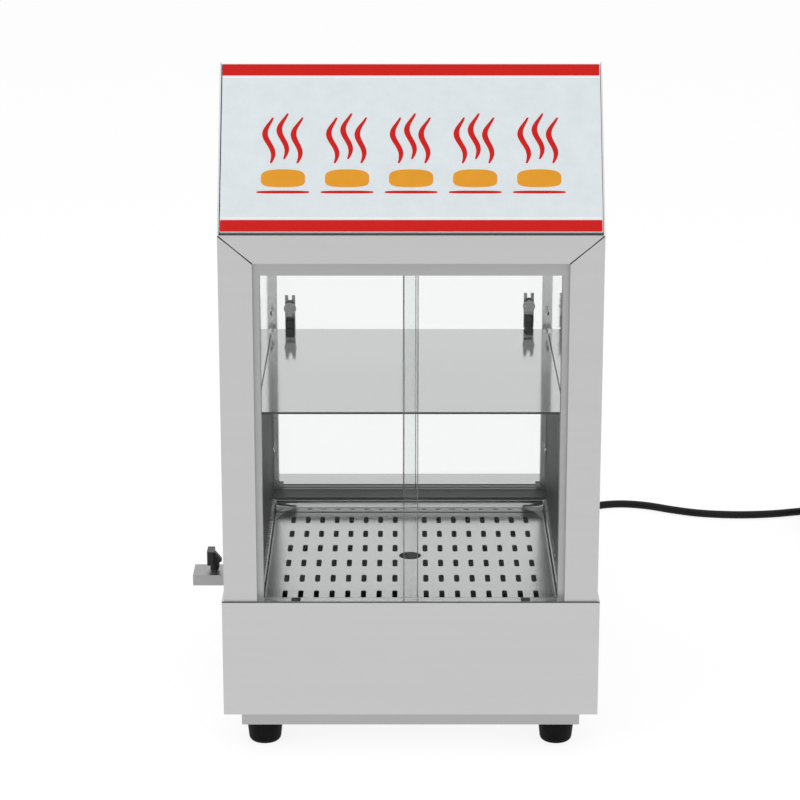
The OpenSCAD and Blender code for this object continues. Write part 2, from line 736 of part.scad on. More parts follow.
// Snap-in frame and body of the power switch
module power_switch() {
    place() color(black) translate([0, rear_y, stat_z]) difference() {
        union() {
            block([-switch_l / 2, switch_l / 2], [0, 2], [-switch_w / 2, switch_w / 2]);
            block([-switch_l / 2 + 2, switch_l / 2 - 2], [-20, 1], [-switch_w / 2 + 1.5, switch_w / 2 - 1.5]);
        }
        block([-switch_l / 2 + 4, switch_l / 2 - 4], [-9, 3], [-switch_w / 2 + 3, switch_w / 2 - 3]);
        rocker_pin(1 + run_fit, 0.1);
    }
}

// Pivot of the rocker, upright through the switch's frame
module rocker_pin(r, spare) {
    pin_l = switch_w - 4.4 + 2 * spare;
    translate([0, -1, -pin_l / 2]) cylinder(r = r, h = pin_l);
}

// Rocker, tilted at rest to its off side
module power_rocker() {
    half = switch_l / 2 - 5;
    place() color(black) translate([0, rear_y, stat_z]) {
        rocker_pin(1, 0);
        translate([0, -1, -switch_w / 2 + 3.4]) rotate(rocker_tilt) linear_extrude(switch_w - 6.8) polygon([
            [-half, 3.6], [-half * 0.5, 2.2], [0, 1.7], [half * 0.5, 2.2], [half, 3.6],
            [half - 0.8, -1.5], [3, -4.5], [-3, -4.5], [-half + 0.8, -1.5]]);
    }
}

// Domed pilot lamp
module pilot_lamp() {
    place() color([0.85, 0.25, 0.10]) translate([lamp_x, rear_y, stat_z]) rotate([-90, 0, 0]) rotate_extrude()
        polygon([[0, -18], [lamp_r, -18], [lamp_r, 0], [lamp_r + 2, 0], [lamp_r + 2, 1.5],
            [lamp_r - 0.5, 2], [lamp_r - 1.5, 4], [lamp_r - 3.5, 5.2], [0, 5.6]]);
}

module pane(x0, slot) {
    block([x0, x0 + pane_x1 + door_overlap / 2],
        [slot + pane_in_slot, slot + pane_in_slot + glass_t], [pane_z0, pane_z1]);
}

// Glass doors: a left and a right pane in neighbouring slots
module front_door_left() { place() color(glass_tint) pane(-pane_x1, front_slot_y[1]); }
module front_door_right() { place() color(glass_tint) pane(-door_overlap / 2, front_slot_y[0]); }

module rear_door_left() {
    place() color(glass_tint) difference() {
        pane(-pane_x1, rear_slot_y[0]);
        handle_hole(-handle_x, rear_slot_y[0]);
    }
}

module rear_door_right() {
    place() color(glass_tint) difference() {
        pane(-door_overlap / 2, rear_slot_y[1]);
        handle_hole(handle_x, rear_slot_y[1]);
    }
}

module handle_hole(x, slot) {
    bar_y([x, slot, deck_z + handle_z + handle_screw_up], 2.3, slot_w);
}

// Bent strap outside the glass, forked at its top, with a screw and a washer inside
module rear_handle(x, slot) {
    glass_y = slot + pane_in_slot;
    out_y = glass_y + glass_t;
    place() color(polished) translate([x, 0, deck_z + handle_z]) {
        difference() {
            union() {
                block([-handle_w / 2, handle_w / 2], [out_y, out_y + handle_t], [6, handle_h]);
                across(-handle_w / 2, handle_w / 2) polygon([[out_y, 6], [out_y + handle_t, 6],
                    [out_y + handle_reach, 3], [out_y + handle_reach, 0],
                    [out_y + handle_reach - handle_t, 0], [out_y + handle_reach - handle_t, 2.4]]);
            }
            block([-1.8, 1.8], [out_y - 1, out_y + handle_t + 1], [handle_h - 5, handle_h + 1]);
        }
        translate([0, 0, handle_screw_up]) {
            bar_y([0, glass_y, 0], 2, glass_t + handle_t);
            bar_y([0, out_y + handle_t, 0], 4, 1.6);
            difference() {
                bar_y([0, glass_y - washer_t, 0], washer_r, washer_t);
                block([-3, 3], [glass_y - washer_t - 1, glass_y - washer_t + 0.8], [-0.5, 0.5]);
                block([-0.5, 0.5], [glass_y - washer_t - 1, glass_y - washer_t + 0.8], [-3, 3]);
            }
        }
    }
}

module rear_handle_left() { rear_handle(-handle_x, rear_slot_y[0]); }
module rear_handle_right() { rear_handle(handle_x, rear_slot_y[1]); }

// Plain shelf with a turned-under edge and rear corners cut back to pass the liner screws
module upper_shelf() {
    half = liner_x - shelf_gap;
    hem = 6;
    place() color(polished) difference() {
        block([-half, half], [shelf_y0, shelf_y1], [shelf_top - shelf_t, shelf_top]);
        block([-half + hem, half - hem], [shelf_y0 + hem, shelf_y1 - hem],
            [shelf_top - shelf_t - 1, shelf_top - liner_t]);
        for (side = [0, 1]) mirror([side, 0, 0])
            block([half - 3.5, half + 1], [rear_track_y0 - 18, rear_y], [shelf_top - 9, shelf_top + 9]);
    }
}

// Perforated tray with a folded skirt and a finger hole
module perforated_tray() {
    mid_y = (tray_y0 + tray_y1) / 2;
    skirt_z = tray_top - tray_skirt;
    place() color(polished) difference() {
        block([-tray_w / 2, tray_w / 2], [tray_y0, tray_y1], [skirt_z, tray_top]);
        block([-tray_w / 2 + liner_t, tray_w / 2 - liner_t], [tray_y0 + liner_t, tray_y1 - liner_t],
            [skirt_z - 1, tray_top - liner_t]);
        translate([0, mid_y, tray_top - liner_t - 1]) linear_extrude(liner_t + 2) {
            circle(r = finger_r);
            for (side = [-1, 1], i = [1 : hole_cols], j = [0 : hole_rows - 1])
                translate([side * i * hole_pitch_x, (j - (hole_rows - 1) / 2) * hole_pitch_y]) slot();
        }
    }
}

module slot() {
    straight = hole_l - hole_w;
    square([hole_w, straight], center = true);
    for (y = [-straight / 2, straight / 2]) translate([0, y]) circle(r = hole_w / 2, $fn = 16);
}

// Ribbed, tapered strain relief
module cord_gland() {
    steps = 5;
    ring = (gland_l - 6) / steps;
    place() color(black) translate(gland_at) rotate([-90, 0, 0]) rotate_extrude() polygon(concat(
        [[0, -8], [cord_r + 2.9, -8], [cord_r + 2.9, 0], [cord_r + 6, 0], [cord_r + 6, 4], [cord_r + 4, 6]],
        [for (i = [0 : steps - 1]) each [[cord_r + 3.4 - 0.5 * i, 6 + ring * i],
            [cord_r + 3.4 - 0.5 * i, 6 + ring * (i + 0.6)],
            [cord_r + 2.0 - 0.3 * i, 6 + ring * (i + 0.7)],
            [cord_r + 2.0 - 0.3 * i, 6 + ring * (i + 1)]]],
        [[0, gland_l]]));
}

coil_z = cord_r + 0.3;

// Route of the free lead, from the strain relief down to the table and along it to the coil.
// Each point has its distance to the right and to the rear of the strain relief's end, and its
// height as a share of the drop to the table.
lead_steps = [[0, 0, 1], [0, 18, 1], [0, 40, 0.967], [1, 62, 0.867], [2, 82, 0.70], [4, 100, 0.50],
    [7, 118, 0.30], [11, 136, 0.135], [16, 158, 0.03], [22, 184, 0], [29, 214, 0], [37, 244, 0],
    [48, 274, 0], [64, 300, 0], [86, 314, 0], [112, 318, 0], [140, 311, 0], [168, 296, 0], [196, 284, 0],
    [226, 278, 0], [258, 277, 0], [290, 281, 0], [320, 289, 0], [348, 295, 0], [364, 296, 0], [373, 296, 0]];
lead_route = [for (p = lead_steps)
    [gland_at[0] + p[0], y_high + p[1], coil_z + p[2] * (gland_at[2] - coil_z)]];

coil_mid = [gland_at[0] + 382, y_high + 244];
coil_r = 52;
coil_turns = 3.25;
coil_rise = 9.5;
coil_steps = 24;
coil_top = coil_z + coil_rise * coil_turns;

// Route of the lead from the coil to the plug, from the coil's middle, with heights from the table
tail_steps = [[coil_r, -2 * cord_r, coil_top], [coil_r, -20, coil_top], [50, -40, 32], [40, -60, 25],
    [24, -72, 18], [8, -76, 13], [-6, -76, 12.5]];
tail_route = [for (p = tail_steps) [coil_mid[0] + p[0], coil_mid[1] + p[1], p[2]]];
plug_at = tail_route[len(tail_route) - 1];

function spline(p, i, t) = let (a = p[max(i - 1, 0)], b = p[i], c = p[i + 1], d = p[min(i + 2, len(p) - 1)])
    0.5 * ((2 * b) + (c - a) * t + (2 * a - 5 * b + 4 * c - d) * t * t + (3 * b - a - 3 * c + d) * t * t * t);

// Points along a route: straight first and last stretches, curved between
function along(p, n) = concat([p[0]],
    [for (i = [1 : len(p) - 3], j = [0 : n - 1]) spline(p, i, j / n)], [p[len(p) - 2], p[len(p) - 1]]);

coil_points = concat([[coil_mid[0] - 2 * cord_r, coil_mid[1] + coil_r, coil_z]],
    [for (i = [0 : coil_turns * coil_steps]) let (a = 90 - 360 * i / coil_steps)
        [coil_mid[0] + coil_r * cos(a), coil_mid[1] + coil_r * sin(a), coil_z + coil_rise * i / coil_steps]],
    [[coil_mid[0] + coil_r, coil_mid[1] - 2 * cord_r, coil_top]]);

// Least gap between two turns of the coil
coil_gap = min([for (i = [0 : len(coil_points) - 1], j = [0 : len(coil_points) - 1])
    if (j - i > coil_steps / 2) norm(coil_points[i] - coil_points[j])]) - 2 * cord_r;
echo(coil_gap = coil_gap);  // cord_coil

function unit(v) = v / norm(v);
function heading(p, i) = unit(i == 0 ? p[1] - p[0] : i == len(p) - 1 ? p[i] - p[i - 1] :
    unit(p[i + 1] - p[i]) + unit(p[i] - p[i - 1]));

// A round tube through points, with rings square to the route
module tube(p, r, sides) {
    rings = [for (i = [0 : len(p) - 1]) let (h = heading(p, i), side = unit(cross([0, 0, 1], h)),
        up = cross(h, side)) [for (k = [0 : sides - 1]) let (a = 360 * k / sides)
            p[i] + r * (cos(a) * side + sin(a) * up)]];
    last = len(p) - 1;
    polyhedron(points = [for (ring = rings) each ring], faces = concat(
        [[for (k = [0 : sides - 1]) k]], [[for (k = [0 : sides - 1]) last * sides + sides - 1 - k]],
        [for (i = [0 : last - 1], k = [0 : sides - 1]) let (a = i * sides + k, b = i * sides + (k + 1) % sides)
            each [[a, a + sides, b], [b, a + sides, b + sides]]]), convexity = 10);
}

module cord_lead() { place() color(black) tube(along(lead_route, 3), cord_r, 8); }
module cord_coil() { place() color(black) tube(coil_points, cord_r, 6); }
module cord_tail() { place() color(black) tube(along(tail_route, 3), cord_r, 8); }

// Moulded plug with two flat blades and a round earth pin, lying on the table
module cord_plug() {
    body_l = 34;
    place() translate(plug_at) rotate([0, -90, 0]) {
        color(black) {
            rotate_extrude() polygon([[0, 0], [cord_r + 1, 0], [cord_r + 2.5, 10], [9, 16], [0, 16]]);
            hull() {
                translate([-9, -8, 14]) cube([18, 16, 4]);
                translate([-12, -13, 26]) cube([24, 26, 8]);
            }
        }
        color(polished) {
            for (y = [-6.35, 6.35]) translate([-6, y - 0.75, body_l]) cube([6.3, 1.5, 16]);
            translate([6, 0, body_l]) cylinder(r = 2.4, h = 18);
        }
    }
}

base_shell();
base_rear_panel();
base_deck();
bottom_pan();
foot_front_left();
foot_front_right();
foot_rear_left();
foot_rear_right();
foot_screws();
side_panel_left();
side_panel_right();
front_header();
rear_header();
ceiling_panel();
upper_liner_left();
upper_liner_right();
lower_liner_left();
lower_liner_right();
hood_end_left();
hood_end_right();
hood_cover();
sign_front();
sign_rear();
front_top_track();
front_bottom_track();
front_side_tracks();
rear_top_track();
rear_bottom_track();
rear_side_tracks();
water_tank();
tray_ledges();
shelf_ledges();
heating_element();
liner_screws();
drain_tap();
drain_guard();
drain_lever();
thermostat_body();
thermostat_knob();
power_switch();
power_rocker();
pilot_lamp();
front_door_left();
front_door_right();
rear_door_left();
rear_door_right();
rear_handle_left();
rear_handle_right();
upper_shelf();
perforated_tray();
cord_gland();
cord_lead();
cord_coil();
cord_tail();
cord_plug();
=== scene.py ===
# Countertop hot dog steamer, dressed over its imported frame
import math
import bmesh
import bpy
from mathutils import Matrix, Vector


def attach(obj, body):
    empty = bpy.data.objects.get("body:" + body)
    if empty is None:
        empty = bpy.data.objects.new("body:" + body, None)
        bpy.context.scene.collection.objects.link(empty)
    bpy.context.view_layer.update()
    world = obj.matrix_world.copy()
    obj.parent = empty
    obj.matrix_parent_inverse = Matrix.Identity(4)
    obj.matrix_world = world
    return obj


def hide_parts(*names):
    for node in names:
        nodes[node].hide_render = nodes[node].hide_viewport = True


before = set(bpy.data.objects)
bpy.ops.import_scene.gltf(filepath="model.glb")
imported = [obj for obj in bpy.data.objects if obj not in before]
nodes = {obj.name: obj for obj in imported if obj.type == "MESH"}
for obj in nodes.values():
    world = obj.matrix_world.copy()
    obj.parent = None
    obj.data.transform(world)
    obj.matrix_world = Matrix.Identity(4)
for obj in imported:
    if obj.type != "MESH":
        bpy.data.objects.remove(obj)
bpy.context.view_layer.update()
scene = bpy.context.scene
scene.view_settings.view_transform = "Standard"
print("frame loaded with", len(nodes), "nodes")

mm = 0.001
cabinetFront = Vector((21.5, -211.0, 0.0))  # where the base's front centre stands on the table


def at(x, y, z):  # millimetres from the base's front centre to metres in the frame
    return (cabinetFront + Vector((x, y, z))) * mm


def rgb(red, green, blue):  # screen colour to linear
    parts = [c / 255 for c in (red, green, blue)]
    return tuple(((c + 0.055) / 1.055) ** 2.4 if c > 0.04045 else c / 12.92 for c in parts) + (1.0,)


# Selecting and finishing, the way it goes by hand

def pick(*objects):
    if bpy.context.mode != "OBJECT":
        bpy.ops.object.mode_set(mode="OBJECT")
    bpy.ops.object.select_all(action="DESELECT")
    for obj in objects:
        obj.select_set(True)
    bpy.context.view_layer.objects.active = objects[0]
    return objects[0]


def pickNothing():
    if bpy.context.mode != "OBJECT":
        bpy.ops.object.mode_set(mode="OBJECT")
    bpy.ops.object.select_all(action="DESELECT")


def edit(obj):
    pick(obj)
    bpy.ops.object.mode_set(mode="EDIT")


def selectPart(obj, kind, wanted):  # kind is faces, edges or verts
    bpy.ops.mesh.select_all(action="DESELECT")
    bpy.ops.mesh.select_mode(type={"faces": "FACE", "edges": "EDGE", "verts": "VERT"}[kind])
    mesh = bmesh.from_edit_mesh(obj.data)
    for part in getattr(mesh, kind):
        part.select_set(bool(wanted(part)))
    mesh.select_flush_mode()
    bmesh.update_edit_mesh(obj.data)


def addModifier(obj, kind, **values):
    modifier = obj.modifiers.new(kind.lower(), kind)
    for name, value in values.items():
        setattr(modifier, name, value)
    pick(obj)
    bpy.ops.object.modifier_apply(modifier=modifier.name)


def joinPieces(name, parts):
    pick(*parts)
    if len(parts) > 1:
        bpy.ops.object.join()
    joined = bpy.context.view_layer.objects.active
    joined.name = joined.data.name = name
    return joined


def moveMesh(obj, matrix):  # puts a place into the mesh and leaves the object at the origin
    pick(obj)
    bpy.ops.object.transform_apply(location=True, rotation=True, scale=True)
    obj.data.transform(matrix)
    obj.data.update()


def copyOf(obj, name):
    twin = obj.copy()
    twin.data = obj.data.copy()
    twin.name = twin.data.name = name
    scene.collection.objects.link(twin)
    return twin


def smooth(obj, degrees=32):
    pick(obj)
    bpy.ops.object.shade_smooth_by_angle(angle=math.radians(degrees))


def outward(obj):
    edit(obj)
    bpy.ops.mesh.select_all(action="SELECT")
    bpy.ops.mesh.remove_doubles(threshold=0.000005)
    bpy.ops.mesh.normals_make_consistent(inside=False)
    bpy.ops.object.mode_set(mode="OBJECT")


def dress(obj, recipe, body):
    obj.data.materials.clear()
    obj.data.materials.append(recipe)
    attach(obj, body)


# Materials: maths on a wire reads as plain maths

class Wire:
    def __init__(self, recipe, socket):
        self.recipe = recipe
        self.socket = socket

    def calc(self, operation, first, second):
        return self.recipe.node("Math", {"operation": operation}, {0: first, 1: second})

    def __add__(self, other):
        return self.calc("ADD", self, other)

    def __radd__(self, other):
        return self.calc("ADD", other, self)

    def __sub__(self, other):
        return self.calc("SUBTRACT", self, other)

    def __rsub__(self, other):
        return self.calc("SUBTRACT", other, self)

    def __mul__(self, other):
        return self.calc("MULTIPLY", self, other)

    def __rmul__(self, other):
        return self.calc("MULTIPLY", other, self)

    def __gt__(self, other):
        return self.calc("GREATER_THAN", self, other)

    def __lt__(self, other):
        return self.calc("LESS_THAN", self, other)

    def size(self):
        return self.recipe.node("Math", {"operation": "ABSOLUTE"}, {0: self})


class Recipe:
    def __init__(self, name):
        self.material = bpy.data.materials.new(name)
        self.material.use_nodes = True
        self.tree = self.material.node_tree
        self.tree.nodes.clear()

    def node(self, kind, settings=None, inputs=None, output=0):
        made = self.tree.nodes.new("ShaderNode" + kind)
        for name, value in (settings or {}).items():
            setattr(made, name, value)
        for name, value in (inputs or {}).items():
            if isinstance(value, Wire):
                self.tree.links.new(value.socket, made.inputs[name])
            else:
                made.inputs[name].default_value = value
        return Wire(self, made.outputs[output])

    def place(self, scale=(1, 1, 1)):  # object coordinates in metres, stretched
        coords = self.node("TexCoord", output="Object")
        return self.node("Mapping", inputs={"Vector": coords, "Scale": scale})

    def axis(self, which):
        coords = self.node("TexCoord", output="Object")
        return self.node("SeparateXYZ", inputs={0: coords}, output=which)

    def noise(self, scale, stretch=(1, 1, 1), detail=3.0, rough=0.5):
        return self.node("TexNoise", inputs={
            "Vector": self.place(stretch), "Scale": scale, "Detail": detail, "Roughness": rough})

    def between(self, wire, low, high, newLow=0.0, newHigh=1.0):
        return self.node("MapRange", {"clamp": True}, {
            "Value": wire, "From Min": low, "From Max": high, "To Min": newLow, "To Max": newHigh})

    def mixColour(self, factor, first, second):
        return self.node("Mix", {"data_type": "RGBA"}, {0: factor, 6: first, 7: second}, output=2)

    def bump(self, height, strength, distance):
        return self.node("Bump", inputs={"Height": height, "Strength": strength, "Distance": distance})

    def principled(self, **sockets):
        names = {"colour": "Base Color", "rough": "Roughness", "metal": "Metallic", "normal": "Normal",
                 "alpha": "Alpha", "coat": "Coat Weight", "level": "Specular IOR Level"}
        return self.node("BsdfPrincipled", inputs={names[key]: value for key, value in sockets.items()})

    def finish(self, surface):
        out = self.tree.nodes.new("ShaderNodeOutputMaterial")
        self.tree.links.new(surface.socket, out.inputs["Surface"])
        return self.material


def makeMetal(name, tone, grain, rough, lines, streak=0.05, smudge=0.06, tint=(1.0, 1.0, 1.0)):
    recipe = Recipe(name)
    broad = recipe.noise(1.0, tuple(v * 0.12 for v in lines), detail=2.0)
    fine = recipe.noise(1.0, lines, detail=4.0, rough=0.65)
    patch = recipe.noise(9.0, detail=3.0, rough=0.6)
    light = recipe.between(broad * 0.45 + fine * 0.55, 0.3, 0.7)
    low = tuple(tone * (1 - streak) * t for t in tint) + (1.0,)
    high = tuple(min(tone * (1 + streak) * t, 1.0) for t in tint) + (1.0,)
    marks = recipe.between(patch, 0.35, 0.7)
    roughness = rough - smudge / 2 + marks * smudge + fine * grain
    normal = recipe.bump(fine, 0.12, 0.0001)
    return recipe.finish(recipe.principled(
        colour=recipe.mixColour(light, low, high), rough=roughness, metal=1.0, normal=normal))


def makeDull(name, darkTone, lightTone, rough, lines):  # dark steel, which hardly mirrors: heat-darkened on the heating element, painted shade on the lower liners and the rear deck strip, dark seams on the sign trims
    recipe = Recipe(name)
    fine = recipe.noise(1.0, lines, detail=4.0, rough=0.65)
    mottle = recipe.between(recipe.noise(16.0, detail=5.0, rough=0.65), 0.3, 0.75)
    return recipe.finish(recipe.principled(
        colour=recipe.mixColour(mottle * 0.6 + fine * 0.4, (darkTone,) * 3 + (1.0,), (lightTone,) * 3 + (1.0,)),
        rough=rough + mottle * 0.12, metal=0.0, level=0.03, normal=recipe.bump(fine, 0.15, 0.0001)))


def makePaintedShadeSteel(name, tone, darkTone, rough, zone, lines):  # steel with painted shade: darker low down, or on its faces that face sideways
    recipe = Recipe(name)
    fine = recipe.noise(1.0, lines, detail=4.0, rough=0.65)
    # painted shade falls on sideways faces (edge) or on everything below the first height (z)
    if zone[0] == "edge":
        upward = recipe.node("SeparateXYZ", inputs={0: recipe.node("TexCoord", output="Normal")}, output=2).size()
        dark = upward < 0.5
    else:
        dark = recipe.axis(2) < zone[1] * mm
    mottle = recipe.between(recipe.noise(22.0, detail=5.0, rough=0.65), 0.3, 0.75)
    light = recipe.between(fine, 0.3, 0.7)
    unshadedColour = recipe.mixColour(light, (tone * 0.97,) * 3 + (1.0,), (tone * 1.03,) * 3 + (1.0,))
    if len(zone) > 2:  # painted highlight: a brighter brim above the second height
        unshadedColour = recipe.mixColour(recipe.axis(2) > zone[2] * mm, unshadedColour, (0.9, 0.9, 0.9, 1.0))
    # marked is the colour of the painted shade, dark and mottled
    marked = recipe.mixColour(mottle, (darkTone * 0.8,) * 3 + (1.0,), (darkTone * 1.3,) * 3 + (1.0,))
    return recipe.finish(recipe.principled(
        colour=recipe.mixColour(dark, unshadedColour, marked), rough=rough + dark * 0.15 + fine * 0.06, metal=1.0 - dark,
        level=0.1, normal=recipe.bump(fine, 0.10, 0.0001)))


def makeGlass(name, settings, edgeAt):  # edgeAt is the free upright edge, from the base's middle
    recipe = Recipe(name)
    facing = recipe.node("TexCoord", output="Normal")
    across = recipe.node("SeparateXYZ", inputs={0: facing}, output=1).size()
    inward = -math.copysign(settings["edgeWidth"] / 2, edgeAt)
    fromEdge = (recipe.axis(0) - (cabinetFront.x + edgeAt + inward) * mm).size()
    ground = (fromEdge < settings["edgeWidth"] / 2 * mm) * settings["edgeShow"]
    rim = recipe.node("Math", {"operation": "MAXIMUM"}, {0: across < 0.5, 1: ground})
    film = recipe.between(recipe.noise(14.0, detail=4.0, rough=0.6), 0.45, 0.75)
    fresnel = recipe.node("Fresnel", inputs={"IOR": settings["ior"]})
    body = recipe.node("BsdfTransparent", inputs={"Color": settings["tint"]})
    shine = recipe.principled(colour=settings["shine"], metal=1.0, rough=film * 0.03 + 0.01)
    edge = recipe.principled(colour=recipe.mixColour(film, settings["edgeDark"], settings["edgeLight"]),
                             rough=0.35, alpha=settings["edgeAlpha"])
    face = recipe.node("MixShader", inputs={0: fresnel * settings["gloss"] + film * settings["haze"],
                                            1: body, 2: shine})
    return recipe.finish(recipe.node("MixShader", inputs={0: rim, 1: face, 2: edge}))


def makePlastic(name, colour, light, rough, grainSize, strength, coat=0.0, level=0.2):
    recipe = Recipe(name)
    grain = recipe.noise(1.0 / grainSize, detail=2.0)
    patch = recipe.between(recipe.noise(35.0, detail=3.0), 0.35, 0.7)
    return recipe.finish(recipe.principled(
        colour=recipe.mixColour(patch, colour, light), rough=rough + patch * 0.08 + grain * 0.05,
        coat=coat, level=level, normal=recipe.bump(grain, strength, 0.0001)))


def makePrint(name, colour, rough):
    recipe = Recipe(name)
    ink = recipe.between(recipe.noise(60.0, detail=4.0, rough=0.7), 0.3, 0.75)
    dull = tuple(c * 0.93 for c in colour[:3]) + (1.0,)
    return recipe.finish(recipe.principled(
        colour=recipe.mixColour(ink, dull, colour), rough=rough + ink * 0.06, level=0.16,
        normal=recipe.bump(recipe.noise(900.0), 0.05, 0.00005)))


steelTones = {
    "sheet": 0.535, "sheetRough": 0.36, "base": 0.55, "pan": 0.43, "track": 0.40,
    "polished": 0.84, "polishedRough": 0.04, "shelf": 0.54, "shelfRough": 0.05,
    "dull": 0.24, "dullRough": 0.42, "tray": 0.50, "trayRough": 0.19, "handle": 0.42,
}
glassLook = {
    "ior": 1.45, "tint": (0.978, 0.983, 0.981, 1.0), "shine": (0.95, 0.97, 0.97, 1.0), "gloss": 0.34,
    "haze": 0.006, "edgeDark": rgb(96, 108, 106), "edgeLight": rgb(128, 140, 137), "edgeAlpha": 0.92,
    "edgeWidth": 1.1, "edgeShow": 0.55, "overlap": 7,
}

sheetLines, topLines = (6, 6, 900), (6, 900, 6)  # the brushing runs along X on every sheet
brushedSteel = makeMetal("brushedSteel", steelTones["sheet"], 0.10, steelTones["sheetRough"], sheetLines,
                         streak=0.02)
baseSteel = makeMetal("baseSteel", steelTones["base"], 0.10, steelTones["sheetRough"], sheetLines, streak=0.02)
# painted shade: the bottom pan is a darker copy of the sheet steel, tone steelTones pan
panSteel = makeMetal("panSteel", steelTones["pan"], 0.10, 0.42, sheetLines, streak=0.03)
trackSteel = makeMetal("trackSteel", steelTones["track"], 0.08, 0.30, sheetLines, streak=0.04)
polishedSteel = makeMetal("polishedSteel", steelTones["polished"], 0.01, steelTones["polishedRough"],
                          sheetLines, streak=0.02, smudge=0.03)
# painted shade: the shelf's sideways faces are dark and not metal
shelfSteel = makePaintedShadeSteel("shelfSteel", steelTones["shelf"], 0.055, steelTones["shelfRough"], zone=("edge",),
                       lines=topLines)
# painted shade: a near-black sheet for the lower liners in the shade under the shelf
linerSteel = makeDull("linerSteel", 0.034, 0.062, 0.45, sheetLines)
dullSteel = makeMetal("dullSteel", steelTones["dull"], 0.10, steelTones["dullRough"], sheetLines, streak=0.10)
traySteel = makeMetal("traySteel", steelTones["tray"], 0.03, steelTones["trayRough"], topLines,
                      streak=0.02, smudge=0.04)
# painted reflection: a dark sheet for the dark interior mirrored in the deck
stripSteel = makeDull("stripSteel", 0.085, 0.125, 0.34, topLines)
trimSteel = makeDull("trimSteel", 0.05, 0.09, 0.30, sheetLines)
# painted shade down in the well below 137.4 mm, painted highlight on the brim above 151.2 mm
wellSteel = makePaintedShadeSteel("wellSteel", 0.50, 0.030, 0.16, zone=("z", 137.4, 151.2), lines=sheetLines)
lipSteel = makeMetal("lipSteel", 0.46, 0.02, 0.12, sheetLines, streak=0.04)
heatSteel = makeDull("heatSteel", 0.018, 0.045, 0.42, (60, 60, 60))
brightTrack = makeMetal("brightTrack", 0.82, 0.03, 0.26, (900, 900, 6), streak=0.03)
# painted shade: the deck's sideways faces, its front edge among them, are dark
deckSteel = makePaintedShadeSteel("deckSteel", steelTones["sheet"], 0.10, 0.24, zone=("edge",), lines=topLines)
# painted shade: the drain guard is a darker copy of the sheet steel, for the shade on its top
guardSteel = makeMetal("guardSteel", 0.36, 0.08, 0.34, sheetLines, streak=0.05)
handleSteel = makeMetal("handleSteel", steelTones["handle"], 0.05, 0.26, (300, 300, 300), streak=0.05)
platedSteel = makeMetal("platedSteel", 0.62, 0.05, 0.22, (300, 300, 300), streak=0.06)
tapBrass = makeMetal("tapMetal", 0.60, 0.08, 0.30, (200, 200, 200), streak=0.08, tint=(1.0, 0.96, 0.88))
leftGlass = makeGlass("leftGlass", glassLook, glassLook["overlap"])
rightGlass = makeGlass("rightGlass", glassLook, -glassLook["overlap"])
footRubber = makePlastic("footRubber", rgb(9, 9, 10), rgb(17, 17, 18), 0.55, 0.0008, 0.25, level=0.1)
padRubber = makePlastic("padRubber", rgb(58, 58, 60), rgb(76, 76, 78), 0.5, 0.0008, 0.2, level=0.1)
cordRubber = makePlastic("cordRubber", rgb(16, 16, 17), rgb(26, 26, 27), 0.42, 0.0006, 0.15, level=0.16)
blackPlastic = makePlastic("blackPlastic", rgb(12, 12, 13), rgb(19, 19, 20), 0.20, 0.0005, 0.10, level=0.35)
lampLens = makePlastic("lampLens", rgb(190, 40, 16), rgb(225, 70, 24), 0.10, 0.0010, 0.10, coat=0.6, level=0.5)
signField = makePrint("signField", rgb(226, 234, 237), 0.34)
signRed = makePrint("signRed", rgb(208, 20, 15), 0.34)
signOrange = makePrint("signOrange", rgb(232, 158, 40), 0.34)
signWhite = makePrint("signWhite", rgb(246, 247, 247), 0.34)
inkBlack = makePrint("inkBlack", rgb(24, 24, 26), 0.45)
dialSilver = makeMetal("dialSilver", 0.62, 0.06, 0.34, (900, 900, 900), streak=0.03)
print("finishes mixed")

finishes = {
    brushedSteel: ["side_panel_left", "side_panel_right", "front_header", "rear_header", "hood_end_left",
                   "hood_end_right", "hood_cover", "ceiling_panel"],
    guardSteel: ["drain_guard"],
    baseSteel: ["base_shell", "base_rear_panel"],
    panSteel: ["bottom_pan"],
    trackSteel: ["front_side_tracks", "front_top_track", "rear_top_track",
                 "front_bottom_track", "rear_bottom_track"],
    deckSteel: ["base_deck"],
    polishedSteel: ["upper_liner_left", "upper_liner_right", "shelf_ledges"],
    brightTrack: ["rear_side_tracks"],
    heatSteel: ["heating_element"],
    handleSteel: ["rear_handle_left", "rear_handle_right"],
    shelfSteel: ["upper_shelf"],
    linerSteel: ["lower_liner_left", "lower_liner_right"],
    dullSteel: ["thermostat_body"],
    wellSteel: ["water_tank", "tray_ledges"],
    traySteel: ["perforated_tray"],
    platedSteel: ["liner_screws", "foot_screws"],
    tapBrass: ["drain_tap"],
    leftGlass: ["front_door_left", "rear_door_left"],
    rightGlass: ["front_door_right", "rear_door_right"],
    signField: ["sign_front", "sign_rear"],
    footRubber: ["foot_front_left", "foot_front_right", "foot_rear_left", "foot_rear_right"],
    cordRubber: ["cord_gland", "cord_lead", "cord_coil", "cord_tail", "cord_plug"],
    blackPlastic: ["drain_lever", "thermostat_knob", "power_switch", "power_rocker"],
    lampLens: ["pilot_lamp"],
}
for finish, names in finishes.items():
    for name in names:
        nodes[name].data.materials.clear()
        nodes[name].data.materials.append(finish)
print("finishes laid on", sum(len(names) for names in finishes.values()), "nodes")


# Camera at the photograph's angle

cameraSetup = {"lens": 121.5, "sensor": 36.0, "place": (0.01144, -2.5852, 1.0417), "tilt": 73.7887}
cameraData = bpy.data.cameras.new("photoCamera")
cameraData.lens = cameraSetup["lens"]
cameraData.sensor_width = cameraSetup["sensor"]
cameraData.clip_end = 50
photoCamera = bpy.data.objects.new("photoCamera", cameraData)
photoCamera.location = cameraSetup["place"]
photoCamera.rotation_euler = (math.radians(cameraSetup["tilt"]), 0, 0)
scene.collection.objects.link(photoCamera)
scene.camera = photoCamera
print("camera placed")


# Supply lead: down from the strain relief, along the table, into a coil, and to its plug

